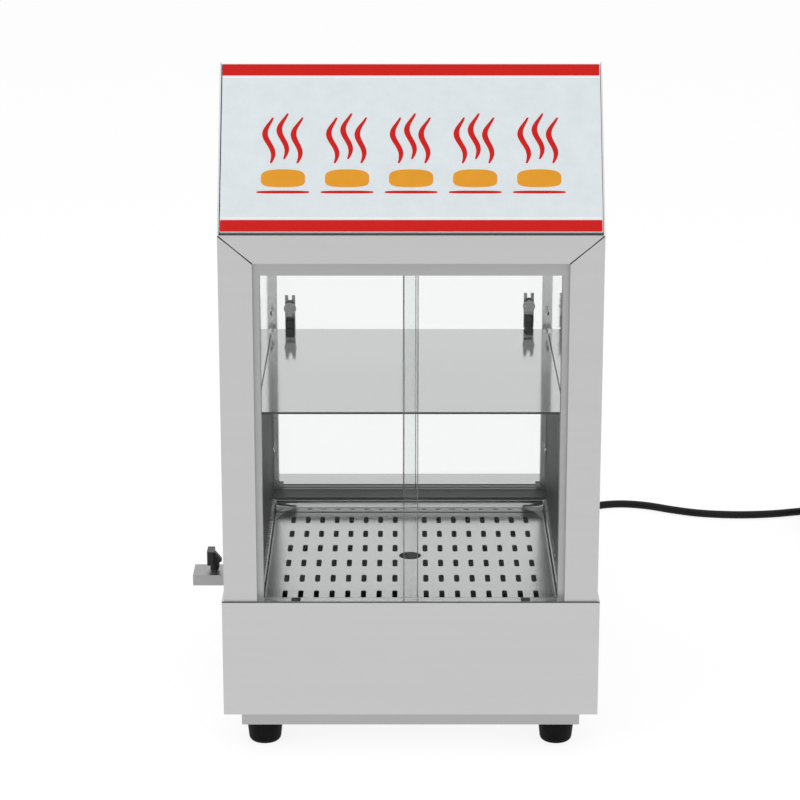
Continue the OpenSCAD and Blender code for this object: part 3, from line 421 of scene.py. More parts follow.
leadSetup = {
    "radius": 4.5, "lift": 0.3, "reliefEnd": (150, 422, 95), "step": 6,
    "coilMiddle": (532, 666), "coilRadius": 52, "turns": 3.25, "rise": 9.5, "coilSteps": 48,
    "tailStart": (-9, -20),
}
leadSteps = [
    (0, 0, 1), (0, 18, 1), (0, 40, 0.967), (1, 62, 0.867), (2, 82, 0.70), (4, 100, 0.50), (7, 118, 0.30),
    (11, 136, 0.135), (16, 158, 0.03), (22, 184, 0), (29, 214, 0), (37, 244, 0), (48, 274, 0),
    (64, 300, 0), (86, 314, 0), (112, 318, 0), (140, 311, 0), (168, 296, 0), (196, 284, 0), (226, 278, 0),
    (258, 277, 0), (290, 281, 0), (320, 289, 0), (348, 295, 0), (364, 296, 0), (373, 296, 0)]
leadTail = [(50, -40, 32), (40, -60, 25), (24, -72, 18), (8, -76, 13), (-6, -76, 12.5)]  # coil to plug


def curveThrough(points, step):  # straight first and last stretches, curved between
    path = [points[0]]
    for i in range(1, len(points) - 2):
        a, b, c, d = points[i - 1], points[i], points[i + 1], points[i + 2]
        for j in range(step):
            t = j / step
            path.append(0.5 * (2 * b + (c - a) * t + (2 * a - 5 * b + 4 * c - d) * t * t
                               + (3 * b - a - 3 * c + d) * t ** 3))
    return path + points[-2:]


def leadRoute(s):
    low = s["radius"] + s["lift"]
    startX, startY, startZ = s["reliefEnd"]
    lead = [Vector((startX + x, startY + y, low + f * (startZ - low))) for x, y, f in leadSteps]
    middleX, middleY = s["coilMiddle"]
    coilTop = low + s["rise"] * s["turns"]
    coil = []
    for i in range(int(s["turns"] * s["coilSteps"]) + 1):
        angle = math.radians(90 - 360 * i / s["coilSteps"])
        coil.append(Vector((middleX + s["coilRadius"] * math.cos(angle),
                            middleY + s["coilRadius"] * math.sin(angle), low + s["rise"] * i / s["coilSteps"])))
    leaving = [(s["coilRadius"], y, coilTop) for y in s["tailStart"]]
    tail = [Vector((middleX + x, middleY + y, z)) for x, y, z in leaving + leadTail]
    route = curveThrough(lead, s["step"]) + coil + curveThrough(tail, s["step"])
    return [at(*point) for point in route]


def makeCord(name, points, radius):
    curve = bpy.data.curves.new(name, "CURVE")
    curve.dimensions = "3D"
    curve.bevel_depth = radius
    curve.bevel_resolution = 5
    curve.use_fill_caps = True
    curve.resolution_u = 1
    spline = curve.splines.new("POLY")
    spline.points.add(len(points) - 1)
    for slot, point in zip(spline.points, points):
        slot.co = (*point, 1.0)
    spline.use_smooth = True
    cord = bpy.data.objects.new(name, curve)
    scene.collection.objects.link(cord)
    return cord


leadPoints = leadRoute(leadSetup)
leadCord = makeCord("leadCord", leadPoints, leadSetup["radius"] * mm)
leadCord.data.materials.append(cordRubber)
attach(leadCord, "cabinet")
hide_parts("cord_lead", "cord_coil", "cord_tail")

# Moulded plug with two flat blades and a round earth pin
plugSetup = {"at": (526, 590, 12.5), "bodyLength": 34, "waist": 5.5, "width": 26, "height": 22.5,
             "blade": (1.5, 6.3, 16), "bladeGap": 12.7, "pinRadius": 2.4, "pinLength": 18,
             "squareFrom": 10, "squareOver": 12, "neckShare": 0.86, "swellFrom": 16, "swellOff": 18,
             "bodyBevel": 0.9, "tipBevel": 1.8, "pinBevel": 1.2,
             "rings": [  # each ring's rise, and how it widens across and along
                 (3.0, 1.08, 1.06), (1.2, 0.98, 0.98), (2.2, 1.12, 1.1), (1.2, 1.0, 1.0), (2.4, 1.2, 1.18),
                 (4.0, 1.2, 1.18), (7.0, 1.32, 1.15), (6.0, 1.08, 1.03), (5.0, 1.0, 1.0)]}


def makePlug(s):
    # built upright at the origin, its lead end down
    pickNothing()
    bpy.ops.mesh.primitive_cylinder_add(vertices=32, radius=s["waist"] * mm, depth=0.001,
                                        location=(0, 0, 0.0005), end_fill_type="NGON")
    body = bpy.context.active_object
    for rise, wide, deep in s["rings"]:
        edit(body)
        top = max(v.co.z for v in body.data.vertices)
        selectPart(body, "faces", lambda f: f.normal.z > 0.9 and f.calc_center_median().z > top - 0.00001)
        bpy.ops.mesh.extrude_region_move(TRANSFORM_OT_translate={"value": (0, 0, rise * mm)})
        bpy.ops.transform.resize(value=(wide, deep, 1.0))
        bpy.ops.object.mode_set(mode="OBJECT")
    # square the face end up, as a moulded grip is
    top = max(v.co.z for v in body.data.vertices)
    halfX, halfY = max(v.co.x for v in body.data.vertices), max(v.co.y for v in body.data.vertices)
    wantX, wantY = s["height"] / 2 * mm, s["width"] / 2 * mm
    for vertex in body.data.vertices:
        share = min(max((vertex.co.z - s["squareFrom"] * mm) / (s["squareOver"] * mm), 0.0), 1.0)
        share = share * share * (3 - 2 * share)
        reach = math.hypot(vertex.co.x, vertex.co.y)
        if reach < 1e-6:
            continue
        cosA, sinA = vertex.co.x / reach, vertex.co.y / reach
        boxy = 1 / (abs(cosA / wantX) ** 5 + abs(sinA / wantY) ** 5) ** 0.2
        risen = min(max((vertex.co.z - s["swellFrom"] * mm) / (top - s["swellOff"] * mm), 0.0), 1.0)
        swell = s["neckShare"] + (1 - s["neckShare"]) * risen
        factor = (reach * (1 - share) + boxy * swell * share) / reach
        vertex.co.x *= factor
        vertex.co.y *= factor
    stretch = s["bodyLength"] * mm / top
    for vertex in body.data.vertices:
        vertex.co.z *= stretch
    addModifier(body, "BEVEL", width=s["bodyBevel"] * mm, segments=2, limit_method="ANGLE",
                angle_limit=math.radians(35))
    smooth(body, 50)
    blades = []
    thick, wide, long = s["blade"]
    for side in (-1, 1):
        pickNothing()
        bpy.ops.mesh.primitive_cube_add(size=1, location=(-3 * mm, side * s["bladeGap"] / 2 * mm,
                                                          (s["bodyLength"] + long / 2 - 0.5) * mm))
        blade = bpy.context.active_object
        blade.scale = (wide * mm, thick * mm, (long + 1) * mm)
        bpy.ops.object.transform_apply(location=True, rotation=True, scale=True)
        edit(blade)
        tip = (s["bodyLength"] + long) * mm
        selectPart(blade, "edges", lambda e: all(v.co.z > tip - 0.0001 for v in e.verts)
                   and abs(e.verts[0].co.y - e.verts[1].co.y) > 0.0005)
        bpy.ops.mesh.bevel(offset=s["tipBevel"] * mm, segments=4)
        bpy.ops.object.mode_set(mode="OBJECT")
        addModifier(blade, "BEVEL", width=0.0002, segments=2, limit_method="ANGLE")
        blades.append(blade)
    pickNothing()
    bpy.ops.mesh.primitive_cylinder_add(vertices=24, radius=s["pinRadius"] * mm, depth=(s["pinLength"] + 1) * mm,
                                        location=(6 * mm, 0, (s["bodyLength"] + s["pinLength"] / 2 - 0.5) * mm))
    pin = bpy.context.active_object
    addModifier(pin, "BEVEL", width=s["pinBevel"] * mm, segments=4, limit_method="ANGLE")
    blades.append(pin)
    metal = joinPieces("plugBlades", blades)
    smooth(metal, 40)
    body.name = body.data.name = "plugBody"
    lay = Matrix.Translation(at(*s["at"])) @ Matrix.Rotation(math.radians(-90), 4, "Y")
    for piece in (body, metal):
        moveMesh(piece, lay)
    return body, metal


plugBody, plugBlades = makePlug(plugSetup)
dress(plugBody, cordRubber, "cabinet")
dress(plugBlades, platedSteel, "cabinet")
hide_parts("cord_plug")
print("plug moulded")


# Printed sign faces: red bands with a white line, steam over plain rounded shapes

signSetup = {
    "front": {"foot": (0, 1.5, 505), "pitch": math.degrees(math.atan2(142, 86)), "turned": False},
    "rear": {"foot": (0, 361.5, 505), "pitch": math.degrees(math.atan2(142, 274)), "turned": True},
    "plateUp": 0.8, "plateFoot": 3, "plateSlant": 162.01, "plateWidth": 346, "ink": 0.16,
    "band": 11.0, "bandGap": 0.6, "line": 1.6, "lineGap": 0.9,
    "groups": 5, "groupPitch": 58, "wisps": 3, "wispPitch": 12, "wispHeight": 44, "wispWidth": 5.4,
    "wispTaper": (0.06, 0.88, 0.7), "wispTurns": 1.12, "wispStart": 0.04, "wispGrowth": (0.65, 0.35),
    "wispSwing": 4.4, "wispFoot": 73, "sideWispDrop": 4, "wispLean": 1.5, "bandInset": 0.6, "bandCorner": 0.8,
    "bunWidth": 40, "bunHeight": 17, "bunFoot": 46, "dashHeight": 2.6, "dashFoot": 40, "dashLonger": 8,
    "seamOff": 0.4, "seamFoot": 2.6, "seamGap": 0.7, "seamIn": 0.4, "seamOut": 0.9, "seamThick": 0.85,
}


def slopeMatrix(side, s):
    p = math.radians(side["pitch"])
    turn = -1 if side["turned"] else 1
    acrossX = Vector((turn, 0, 0))
    upSlope = Vector((0, turn * math.cos(p), math.sin(p)))
    out = acrossX.cross(upSlope)
    origin = at(*side["foot"]) + out * s["plateUp"] * mm
    matrix = Matrix((acrossX, upSlope, out)).transposed().to_4x4()
    matrix.translation = origin
    return matrix


def flatPatch(x0, x1, y0, y1, columns, rows):  # in millimetres on the sign's own plane
    pickNothing()
    bpy.ops.mesh.primitive_grid_add(x_subdivisions=columns, y_subdivisions=rows, size=1)
    patch = bpy.context.active_object
    patch.data.transform(Matrix.Translation(((x0 + x1) / 2 * mm, (y0 + y1) / 2 * mm, 0))
                         @ Matrix.Diagonal(((x1 - x0) * mm, (y1 - y0) * mm, 1, 1)))
    return patch


def thicken(patch, ink):
    addModifier(patch, "SOLIDIFY", thickness=ink * mm, offset=1.0)
    outward(patch)


def makeBand(s, low, high):
    half = s["plateWidth"] / 2 - s["bandInset"]
    patch = flatPatch(-half, half, low, high, 24, 2)
    edit(patch)
    corner = half * mm - 0.0001
    selectPart(patch, "verts", lambda v: abs(v.co.x) > corner
               and (v.co.y < low * mm + 1e-6 or v.co.y > high * mm - 1e-6))
    bpy.ops.mesh.bevel(affect="VERTICES", offset=s["bandCorner"] * mm, segments=3)
    bpy.ops.object.mode_set(mode="OBJECT")
    return patch


def makeWisp(s, lean):
    # a strip that swings like rising steam and thins towards both ends
    patch = flatPatch(-0.5, 0.5, 0, s["wispHeight"], 2, 28)
    start, share, power = s["wispTaper"]
    foot, growth = s["wispGrowth"]
    for vertex in patch.data.vertices:
        t = vertex.co.y / (s["wispHeight"] * mm)
        body = math.sin(math.pi * (start + share * t)) ** power
        swing = math.sin(2 * math.pi * (t * s["wispTurns"] + s["wispStart"])) * s["wispSwing"]
        vertex.co.x = vertex.co.x * s["wispWidth"] * body + (swing * (foot + growth * t) + lean * t) * mm
    return patch


def makeRound(width, height, rise, topPower=0.62, footPower=0.42, sidePower=0.75):  # flatter below
    pickNothing()
    bpy.ops.mesh.primitive_circle_add(vertices=40, radius=1, fill_type="NGON")
    patch = bpy.context.active_object
    for vertex in patch.data.vertices:
        x, y = vertex.co.x, vertex.co.y
        power = topPower if y > 0 else footPower
        vertex.co.x = math.copysign(abs(x) ** sidePower, x) * width / 2 * mm
        vertex.co.y = (math.copysign(abs(y) ** power, y) * height / 2 + rise + height / 2) * mm
    return patch


def slid(patch, x, y=0.0):
    patch.data.transform(Matrix.Translation((x * mm, y * mm, 0)))
    return patch


def makeSign(which, s):
    low, high = s["plateFoot"], s["plateFoot"] + s["plateSlant"]
    edge = s["bandGap"]
    reds = [makeBand(s, low + edge, low + edge + s["band"]), makeBand(s, high - s["band"], high)]
    lowLine, highLine = low + edge + s["band"] + s["lineGap"], high - s["band"] - s["lineGap"]
    whites = [makeBand(s, lowLine, lowLine + s["line"]), makeBand(s, highLine - s["line"], highLine)]
    wisps = []
    for j in range(s["wisps"]):
        drop = s["sideWispDrop"] if j != 1 else 0
        wisps.append(slid(makeWisp(s, s["wispLean"] * (j - 1)), (j - 1) * s["wispPitch"], s["wispFoot"] - drop))
    dash = makeRound(s["bunWidth"] + s["dashLonger"], s["dashHeight"], s["dashFoot"])
    mound = makeRound(s["bunWidth"], s["bunHeight"], s["bunFoot"])
    oranges = []
    first = -(s["groups"] - 1) / 2 * s["groupPitch"]
    for i in range(s["groups"]):
        x = first + i * s["groupPitch"]
        reds += [slid(copyOf(patch, "signPatch"), x) for patch in wisps + [dash]]
        oranges.append(slid(copyOf(mound, "signPatch"), x))
    for pattern in wisps + [dash, mound]:
        bpy.data.objects.remove(pattern)
    matrix = slopeMatrix(s[which], s)
    for name, parts, ink in (("Red", reds, signRed), ("White", whites, signWhite),
                             ("Orange", oranges, signOrange)):
        piece = joinPieces("signPrint" + name + "_" + which, parts)
        thicken(piece, s["ink"])
        moveMesh(piece, matrix)
        dress(piece, ink, "cabinet")


def makeTrim(which, s):  # dark seam lines where the sign plate meets the folded sheet
    half = s["plateWidth"] / 2 + s["seamOff"]
    low, high = s["plateFoot"], s["plateFoot"] + s["plateSlant"]
    seams = [flatPatch(-half, half, low - s["seamFoot"], low - s["seamGap"], 16, 2)]
    seams += [flatPatch(side * half - s["seamIn"], side * half + s["seamOut"], low - s["seamFoot"], high, 2, 12)
              for side in (-1, 1)]
    trim = joinPieces("signTrim_" + which, seams)
    addModifier(trim, "SOLIDIFY", thickness=s["seamThick"] * mm, offset=-1.0)
    moveMesh(trim, slopeMatrix(s[which], s))
    dress(trim, trimSteel, "cabinet")


for which in ("front", "rear"):
    makeSign(which, signSetup)
    makeTrim(which, signSetup)
    print("sign printed,", which)


# Open mitres where the head rails meet the stiles
mitreSetup = {"outer": (174.8, 504.8), "inner": (143.8, 478.8), "wide": 1.15, "proud": 0.1,
              "front": 1.5, "rear": 361.5}


def frontFace(x, y, z):
    matrix = Matrix(((1, 0, 0), (0, 0, -1), (0, 1, 0))).to_4x4()
    matrix.translation = at(x, y, z)
    return matrix


def rearFace(x, y, z):  # a plan drawn flat, seen from behind with its right to the object's left
    matrix = Matrix(((-1, 0, 0), (0, 0, 1), (0, 1, 0))).to_4x4()
    matrix.translation = at(x, y, z)
    return matrix


def makeMitre(s):
    (x0, z0), (x1, z1) = s["outer"], s["inner"]
    long = math.hypot(x1 - x0, z1 - z0)
    seam = flatPatch(0, long, -s["wide"] / 2, s["wide"] / 2, 16, 2)
    for vertex in seam.data.vertices:  # a little wider where the two bends open it
        vertex.co.y *= 0.75 + 0.25 * abs(2 * vertex.co.x / (long * mm) - 1)
    seam.data.transform(Matrix.Translation((x0 * mm, z0 * mm, 0))
                        @ Matrix.Rotation(math.atan2(z1 - z0, x1 - x0), 4, "Z"))
    thicken(seam, s["proud"])
    return seam


mitre = makeMitre(mitreSetup)
mitres = []
for face, y in ((frontFace, mitreSetup["front"]), (rearFace, mitreSetup["rear"])):
    for flip in (1, -1):
        seam = copyOf(mitre, "mitreSeam")
        seam.data.transform(Matrix.Diagonal((flip, 1, 1, 1)))
        moveMesh(seam, face(0, y, 0))
        outward(seam)
        mitres.append(seam)
bpy.data.objects.remove(mitre)
mitreSeams = joinPieces("mitreSeams", mitres)
dress(mitreSeams, inkBlack, "cabinet")
print("mitres drawn")


# Rear controls: dial plate with its marks, switch marks and panel screws

dialSetup = {"at": (-70, 392, 98), "plateRadius": 27.5, "plateThick": 0.5, "ticks": 11, "from": 225, "sweep": 270,
             "tickIn": 21.0, "tickOut": 23.6, "numberAt": 25.2, "numberSize": 3.6, "ink": 0.08,
             "rim": 1.2, "ring": 18.0, "longTick": (1.0, 0.45), "shortTick": (0.55, 0.28)}


def makeDial(s):
    pickNothing()
    bpy.ops.mesh.primitive_circle_add(vertices=96, radius=s["plateRadius"] * mm, fill_type="NGON")
    plate = bpy.context.active_object
    edit(plate)
    bpy.ops.mesh.select_all(action="SELECT")
    bpy.ops.mesh.inset(thickness=s["rim"] * mm)
    bpy.ops.mesh.inset(thickness=s["ring"] * mm)
    bpy.ops.mesh.delete(type="FACE")
    bpy.ops.object.mode_set(mode="OBJECT")
    addModifier(plate, "SOLIDIFY", thickness=s["plateThick"] * mm, offset=1.0)
    outward(plate)
    addModifier(plate, "BEVEL", width=0.00015, segments=2, limit_method="ANGLE", angle_limit=math.radians(50))
    plate.name = plate.data.name = "dialPlate"
    marks = []
    for i in range(s["ticks"]):
        angle = math.radians(s["from"] - s["sweep"] * i / (s["ticks"] - 1))
        long, wide = s["longTick"] if i % 2 == 0 else s["shortTick"]
        tickFoot = s["tickOut"] - (s["tickOut"] - s["tickIn"]) * long
        tick = flatPatch(-wide / 2, wide / 2, tickFoot, s["tickOut"], 1, 4)
        tick.data.transform(Matrix.Rotation(angle - math.pi / 2, 4, "Z"))
        marks.append(tick)
        if i % 2 == 0:
            marks.append(makeNumber(str(i // 2), s["numberSize"], s["numberAt"] * math.cos(angle),
                                    s["numberAt"] * math.sin(angle)))
    ink = joinPieces("dialMarks", marks)
    thicken(ink, s["ink"])
    x, y, z = s["at"]
    moveMesh(plate, rearFace(x, y, z))
    moveMesh(ink, rearFace(x, y + s["plateThick"], z))
    smooth(plate, 40)
    dress(plate, dialSilver, "cabinet")
    dress(ink, inkBlack, "cabinet")


def makeNumber(figure, size, x, y):
    pickNothing()
    bpy.ops.object.text_add()
    word = bpy.context.active_object
    word.data.body = figure
    word.data.size = size * mm
    word.data.align_x = "CENTER"
    word.data.align_y = "CENTER"
    bpy.ops.object.convert(target="MESH")
    number = bpy.context.active_object
    number.data.transform(Matrix.Translation((x * mm, y * mm, 0)))
    return number


def makeScrew(name, s):
    pickNothing()
    bpy.ops.mesh.primitive_uv_sphere_add(segments=24, ring_count=12, radius=1)
    head = bpy.context.active_object
    edit(head)
    bpy.ops.mesh.select_all(action="SELECT")
    bpy.ops.mesh.bisect(plane_co=(0, 0, 0.05), plane_no=(0, 0, 1), clear_inner=True, use_fill=True)
    bpy.ops.object.mode_set(mode="OBJECT")
    for vertex in head.data.vertices:
        reach = math.hypot(vertex.co.x, vertex.co.y)
        cross = min(abs(vertex.co.x), abs(vertex.co.y)) < s["slotHalf"] and reach < s["slotReach"]
        vertex.co = (vertex.co.x * s["radius"] * mm, vertex.co.y * s["radius"] * mm,
                     (vertex.co.z * s["rise"] - (s["slot"] if cross and vertex.co.z > 0.1 else 0.0)) * mm)
    head.name = head.data.name = name
    outward(head)
    smooth(head, 40)
    return head


makeDial(dialSetup)
screwSetup = {"radius": 2.9, "rise": 1.7, "slot": 0.9, "slotHalf": 0.16, "slotReach": 0.62,
              "across": (-165, -112, 112, 165), "up": (50, 147), "faceY": 392.0}
screws = [makeScrew("panelScrews", screwSetup)]
places = [(x, z) for x in screwSetup["across"] for z in screwSetup["up"]]
screws += [copyOf(screws[0], "panelScrew") for place in places[1:]]
for screw, (x, z) in zip(screws, places):
    moveMesh(screw, rearFace(x, screwSetup["faceY"], z))
panelScrews = joinPieces("panelScrews", screws)
dress(panelScrews, platedSteel, "cabinet")

switchSetup = {"at": (0, 392, 98), "barAt": -6.2, "barHalf": (0.35, 1.7), "ringAt": 6.2, "ringRadius": 1.8,
               "ringWide": 0.6, "startOut": 8, "ink": 0.06}


def makeSwitchMarks(s):  # a bar and a ring on the rocker's ends
    halfX, halfY = s["barHalf"]
    bar = flatPatch(-halfX, halfX, -halfY, halfY, 1, 3)
    bar.data.transform(Matrix.Translation((s["barAt"] * mm, 0, 0)))
    pickNothing()
    bpy.ops.mesh.primitive_circle_add(vertices=40, radius=s["ringRadius"] * mm, fill_type="NGON")
    ring = bpy.context.active_object
    edit(ring)
    bpy.ops.mesh.select_all(action="SELECT")
    bpy.ops.mesh.inset(thickness=s["ringWide"] * mm)
    bpy.ops.mesh.delete(type="FACE")
    bpy.ops.object.mode_set(mode="OBJECT")
    ring.data.transform(Matrix.Translation((s["ringAt"] * mm, 0, 0)))
    marks = joinPieces("switchMarks", [bar, ring])
    x, y, z = s["at"]
    moveMesh(marks, rearFace(x, y + s["startOut"], z))
    addModifier(marks, "SHRINKWRAP", target=nodes["power_rocker"], wrap_method="PROJECT", use_project_y=True,
                use_positive_direction=False, use_negative_direction=True)
    thicken(marks, s["ink"])
    return marks


switchMarks = makeSwitchMarks(switchSetup)
dress(switchMarks, signWhite, "power_rocker")
print("rear controls marked")


# Dark grip pad against the inside of each rear door, below the handle's screw

padSetup = {"rear_door_left": (-124.0, 338.0), "rear_door_right": (124.0, 348.0), "half": 4.6,
            "z": (327.6, 341.0), "thick": 1.25, "ribs": 5, "ribDepth": 0.35, "backThinner": 0.4}


def makePad(door, s):
    x, glassY = s[door]
    (low, high), half = s["z"], s["half"]
    pickNothing()
    bpy.ops.mesh.primitive_grid_add(x_subdivisions=6, y_subdivisions=2 * s["ribs"], size=1)
    pad = bpy.context.active_object
    edit(pad)
    rows = 2 * s["ribs"]
    selectPart(pad, "faces", lambda f: int((f.calc_center_median().y + 0.5) * rows) % 2 == 0
               and abs(f.calc_center_median().x) < 0.4)
    bpy.ops.mesh.extrude_region_move(TRANSFORM_OT_translate={"value": (0, 0, -s["ribDepth"])})
    bpy.ops.object.mode_set(mode="OBJECT")
    pad.name = pad.data.name = "gripPad_" + door
    moveMesh(pad, Matrix.Diagonal((2 * half * mm, (high - low) * mm, mm, 1)))
    addModifier(pad, "SOLIDIFY", thickness=(s["thick"] - s["backThinner"]) * mm, offset=-1.0)
    outward(pad)
    top = min(v.co.z for v in pad.data.vertices)
    face = Matrix(((1, 0, 0), (0, 0, 1), (0, 1, 0))).to_4x4()
    face.translation = at(x, glassY - s["thick"], (low + high) / 2) - Vector((0, top, 0))
    moveMesh(pad, face)
    outward(pad)
    smooth(pad, 35)
    dress(pad, blackPlastic, door)


for door in ("rear_door_left", "rear_door_right"):
    makePad(door, padSetup)
print("grip pads set")


# Sills: in front, the track, the deck behind it and the tank's front wall stand lower; behind, the track does

def cutCopy(node, name, cuts):  # a merged copy of a node's mesh, less some blocks in millimetres
    mesh = nodes[node].data.copy()
    piece = bpy.data.objects.new(name, mesh)
    scene.collection.objects.link(piece)
    mesh.name = name
    edit(piece)
    bpy.ops.mesh.select_all(action="SELECT")
    bpy.ops.mesh.remove_doubles(threshold=0.000002)
    bpy.ops.object.mode_set(mode="OBJECT")
    for x0, x1, y0, y1, z0, z1 in cuts:
        pickNothing()
        bpy.ops.mesh.primitive_cube_add(size=1, location=at((x0 + x1) / 2, (y0 + y1) / 2, (z0 + z1) / 2))
        cutter = bpy.context.active_object
        cutter.scale = ((x1 - x0) * mm, (y1 - y0) * mm, (z1 - z0) * mm)
        pick(cutter)
        bpy.ops.object.transform_apply(location=True, rotation=True, scale=True)
        addModifier(piece, "BOOLEAN", operation="DIFFERENCE", object=cutter, solver="EXACT")
        bpy.data.objects.remove(cutter)
    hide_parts(node)
    return piece


sillSetup = {"halfWidth": 145.0, "legs": 11.2, "trackRear": 24.6, "trackTop": 149.4, "wellHalf": 140.2,
             "deck": (22.6, 28.0), "deckLow": 150, "wall": (20, 27.01), "wallTop": 147.6,
             "rearHalf": 133.6, "rear": (336, 354), "rearTop": 156.0, "above": 160}


def cutSills(s):
    wide, well, rear, above = s["halfWidth"], s["wellHalf"], s["rearHalf"], s["above"]
    frontSill = cutCopy("front_bottom_track", "frontSill", [
        (-wide, wide, s["legs"], s["trackRear"], s["trackTop"], above)])
    dress(frontSill, trackSteel, "cabinet")
    deckSheet = cutCopy("base_deck", "deckSheet", [(-well, well, *s["deck"], s["deckLow"], above)])
    dress(deckSheet, deckSteel, "cabinet")
    wellPan = cutCopy("water_tank", "wellPan", [(-well, well, *s["wall"], s["wallTop"], above)])
    dress(wellPan, wellSteel, "cabinet")
    rearSill = cutCopy("rear_bottom_track", "rearSill", [(-rear, rear, *s["rear"], s["rearTop"], above)])
    dress(rearSill, trackSteel, "cabinet")


cutSills(sillSetup)
print("sills cut")

# Lip of the tank: an upright face behind the tray and a brim up to the deck
lipSetup = {"half": 139.0, "thick": 0.8, "profile": [
    (297.5, 139.6), (297.5, 144.0), (297.5, 149.6), (298.1, 150.9), (299.2, 151.3),
    (304.6, 151.9), (306.4, 153.3)]}


def makeLip(s):
    lip = flatPatch(-s["half"], s["half"], 0, 1, 12, len(s["profile"]) - 1)
    rows = sorted({round(v.co.y, 7) for v in lip.data.vertices})
    for vertex in lip.data.vertices:
        y, z = s["profile"][rows.index(round(vertex.co.y, 7))]
        vertex.co.y, vertex.co.z = y * mm, z * mm
    moveMesh(lip, Matrix.Translation(at(0, 0, 0)))
    addModifier(lip, "SOLIDIFY", thickness=s["thick"] * mm, offset=-1.0)
    lip.name = lip.data.name = "tankLip"
    outward(lip)
    addModifier(lip, "BEVEL", width=0.00012, segments=2, limit_method="ANGLE", angle_limit=math.radians(60))
    smooth(lip, 25)
    return lip


tankLip = makeLip(lipSetup)
dress(tankLip, lipSteel, "cabinet")
print("tank lip folded")

# Two low stop pads on the deck in front of the doors
stopSetup = {"x": 107.5, "half": (4.3, 3.9), "y": 5.6, "deck": 155.0, "rise": 0.5, "thick": 0.5,
             "edgeDrop": 0.25, "crown": 0.1}


def makeStop(name, s):
    halfX, halfY = s["half"]
    pad = flatPatch(-halfX, halfX, -halfY, halfY, 8, 8)
    for vertex in pad.data.vertices:
        u, v = vertex.co.x / (halfX * mm), vertex.co.y / (halfY * mm)
        fall = s["edgeDrop"] * max(abs(u), abs(v)) ** 4 + s["crown"] * (u * u + v * v)
        vertex.co.z = s["rise"] * mm * (1 - fall)
    addModifier(pad, "SOLIDIFY", thickness=s["thick"] * mm, offset=-1.0)
    outward(pad)
    addModifier(pad, "BEVEL", width=0.0003, segments=2, limit_method="ANGLE", angle_limit=math.radians(50))
    pad.name = pad.data.name = name
    low = min(v.co.z for v in pad.data.vertices)
    for vertex in pad.data.vertices:
        vertex.co.z -= low
    smooth(pad, 50)
    return pad


stopPads = [makeStop("stopPads", stopSetup)]
stopPads.append(copyOf(stopPads[0], "stopPad"))
for pad, side in zip(stopPads, (-1, 1)):
    moveMesh(pad, Matrix.Translation(at(side * stopSetup["x"], stopSetup["y"], stopSetup["deck"])))
stopPads = joinPieces("stopPads", stopPads)
dress(stopPads, padRubber, "cabinet")
print("stop pads set")

# Dark strip on the deck between the well and the rear doors, with turned edges: a painted reflection of the dark
# interior
stripSetup = {"x": 143.2, "y": (307.2, 335.9), "z": 155.0, "thick": 0.7, "hem": 1.4, "turnUp": 0.5}


def makeRearStrip(s):
    (y0, y1), half = s["y"], s["x"]
    pickNothing()
    bpy.ops.mesh.primitive_grid_add(x_subdivisions=12, y_subdivisions=6, size=1)
    strip = bpy.context.active_object
    strip.data.transform(Matrix.Translation(at(0, (y0 + y1) / 2, s["z"] + s["thick"]))
                         @ Matrix.Diagonal((2 * half * mm, (y1 - y0) * mm, 1, 1)))
    edges = sorted({round(v.co.y, 6) for v in strip.data.vertices})
    inner, outer = (edges[1], edges[-2]), (edges[0], edges[-1])
    for vertex in strip.data.vertices:
        y = round(vertex.co.y, 6)
        if y in inner:
            vertex.co.y = outer[inner.index(y)] + (s["hem"] * mm if y == inner[0] else -s["hem"] * mm)
        elif y in outer:
            vertex.co.z += s["turnUp"] * mm
    addModifier(strip, "SOLIDIFY", thickness=s["thick"] * mm, offset=-1.0)
    strip.name = strip.data.name = "rearDeckStrip"
    outward(strip)
    addModifier(strip, "BEVEL", width=0.00015, segments=2, limit_method="ANGLE", angle_limit=math.radians(40))
    smooth(strip, 40)
    return strip


rearDeckStrip = makeRearStrip(stripSetup)
dress(rearDeckStrip, stripSteel, "cabinet")
print("rear strip laid")


# Studio: pale floor, soft lamps, white behind

studioSetup = {
    "floorHalf": 14, "floorColour": (0.86, 0.86, 0.86, 1.0), "floorGlow": 1.1, "floorShadowShare": 0.22,
    "worldLight": 0.62, "lampsAim": (0.02, 0.0, 0.3), "lamps": [
        {"name": "overheadSoft", "place": (-0.3, -0.6, 2.6), "size": 3.8, "power": 19},
        {"name": "frontLeftSoft", "place": (-1.9, -2.0, 1.6), "size": 1.6, "power": 13},
        {"name": "frontRightSoft", "place": (2.1, -1.7, 1.3), "size": 1.6, "power": 9}],
}


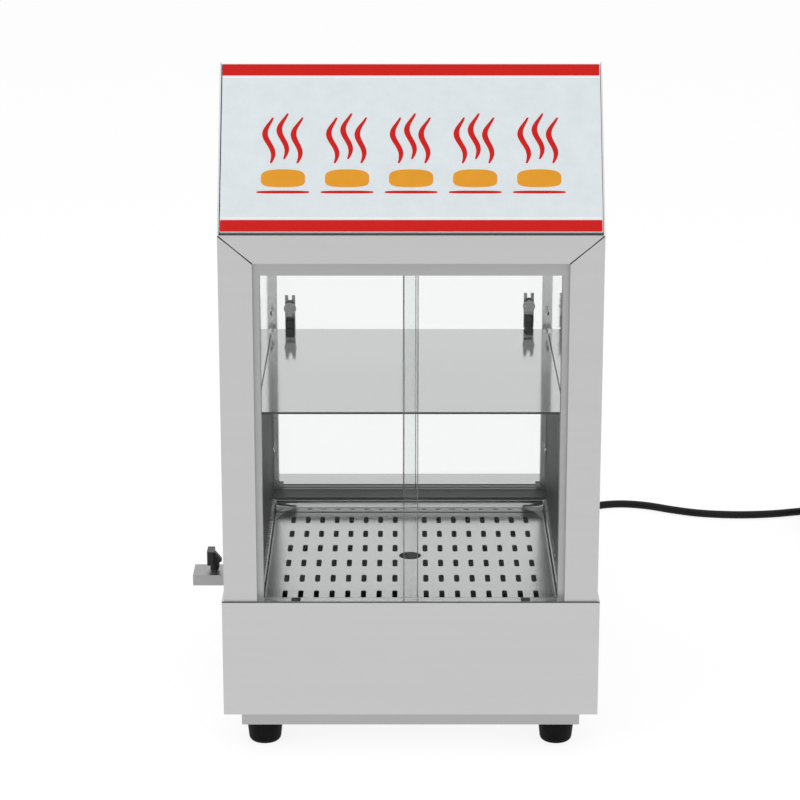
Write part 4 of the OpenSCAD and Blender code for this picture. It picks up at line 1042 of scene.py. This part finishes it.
def makeFloor(s):
    pickNothing()
    bpy.ops.mesh.primitive_grid_add(x_subdivisions=8, y_subdivisions=8, size=2 * s["floorHalf"])
    floor = bpy.context.active_object
    floor.name = floor.data.name = "studioFloor"
    recipe = Recipe("studioFloor")
    seen = recipe.node("LightPath", output="Is Camera Ray") + recipe.node("LightPath", output="Is Glossy Ray") \
        + recipe.node("LightPath", output="Is Transmission Ray")
    paper = recipe.node("BsdfDiffuse", inputs={"Color": s["floorColour"]})
    glow = recipe.node("Emission", inputs={"Color": (1, 1, 1, 1), "Strength": s["floorGlow"]})
    lit = recipe.node("MixShader", inputs={0: s["floorShadowShare"], 1: glow, 2: paper})
    floor.data.materials.append(recipe.finish(recipe.node("MixShader", inputs={
        0: seen > 0.5, 1: paper, 2: lit})))


def makeWorld(s):
    world = bpy.data.worlds.new("studioWorld")
    world.use_nodes = True
    scene.world = world
    tree = world.node_tree
    tree.nodes.clear()
    rays = tree.nodes.new("ShaderNodeLightPath")
    soft = tree.nodes.new("ShaderNodeBackground")
    soft.inputs["Strength"].default_value = s["worldLight"]
    white = tree.nodes.new("ShaderNodeBackground")
    seen = tree.nodes.new("ShaderNodeMath")
    seen.operation = "MAXIMUM"
    tree.links.new(rays.outputs["Is Camera Ray"], seen.inputs[0])
    tree.links.new(rays.outputs["Is Glossy Ray"], seen.inputs[1])
    seenToo = tree.nodes.new("ShaderNodeMath")
    seenToo.operation = "MAXIMUM"
    tree.links.new(seen.outputs[0], seenToo.inputs[0])
    tree.links.new(rays.outputs["Is Transmission Ray"], seenToo.inputs[1])
    for background in (soft, white):
        background.inputs["Color"].default_value = (1, 1, 1, 1)
    mix = tree.nodes.new("ShaderNodeMixShader")
    tree.links.new(seenToo.outputs[0], mix.inputs[0])
    tree.links.new(soft.outputs[0], mix.inputs[1])
    tree.links.new(white.outputs[0], mix.inputs[2])
    out = tree.nodes.new("ShaderNodeOutputWorld")
    tree.links.new(mix.outputs[0], out.inputs["Surface"])


def makeLamps(s):
    for lamp in s["lamps"]:
        light = bpy.data.lights.new(lamp["name"], "AREA")
        light.shape = "SQUARE"
        light.size = lamp["size"]
        light.energy = lamp["power"]
        holder = bpy.data.objects.new(lamp["name"], light)
        holder.location = lamp["place"]
        aim = Vector(s["lampsAim"]) - Vector(lamp["place"])
        holder.rotation_euler = aim.to_track_quat("-Z", "Y").to_euler()
        scene.collection.objects.link(holder)


makeFloor(studioSetup)
makeWorld(studioSetup)
makeLamps(studioSetup)
print("studio lit")
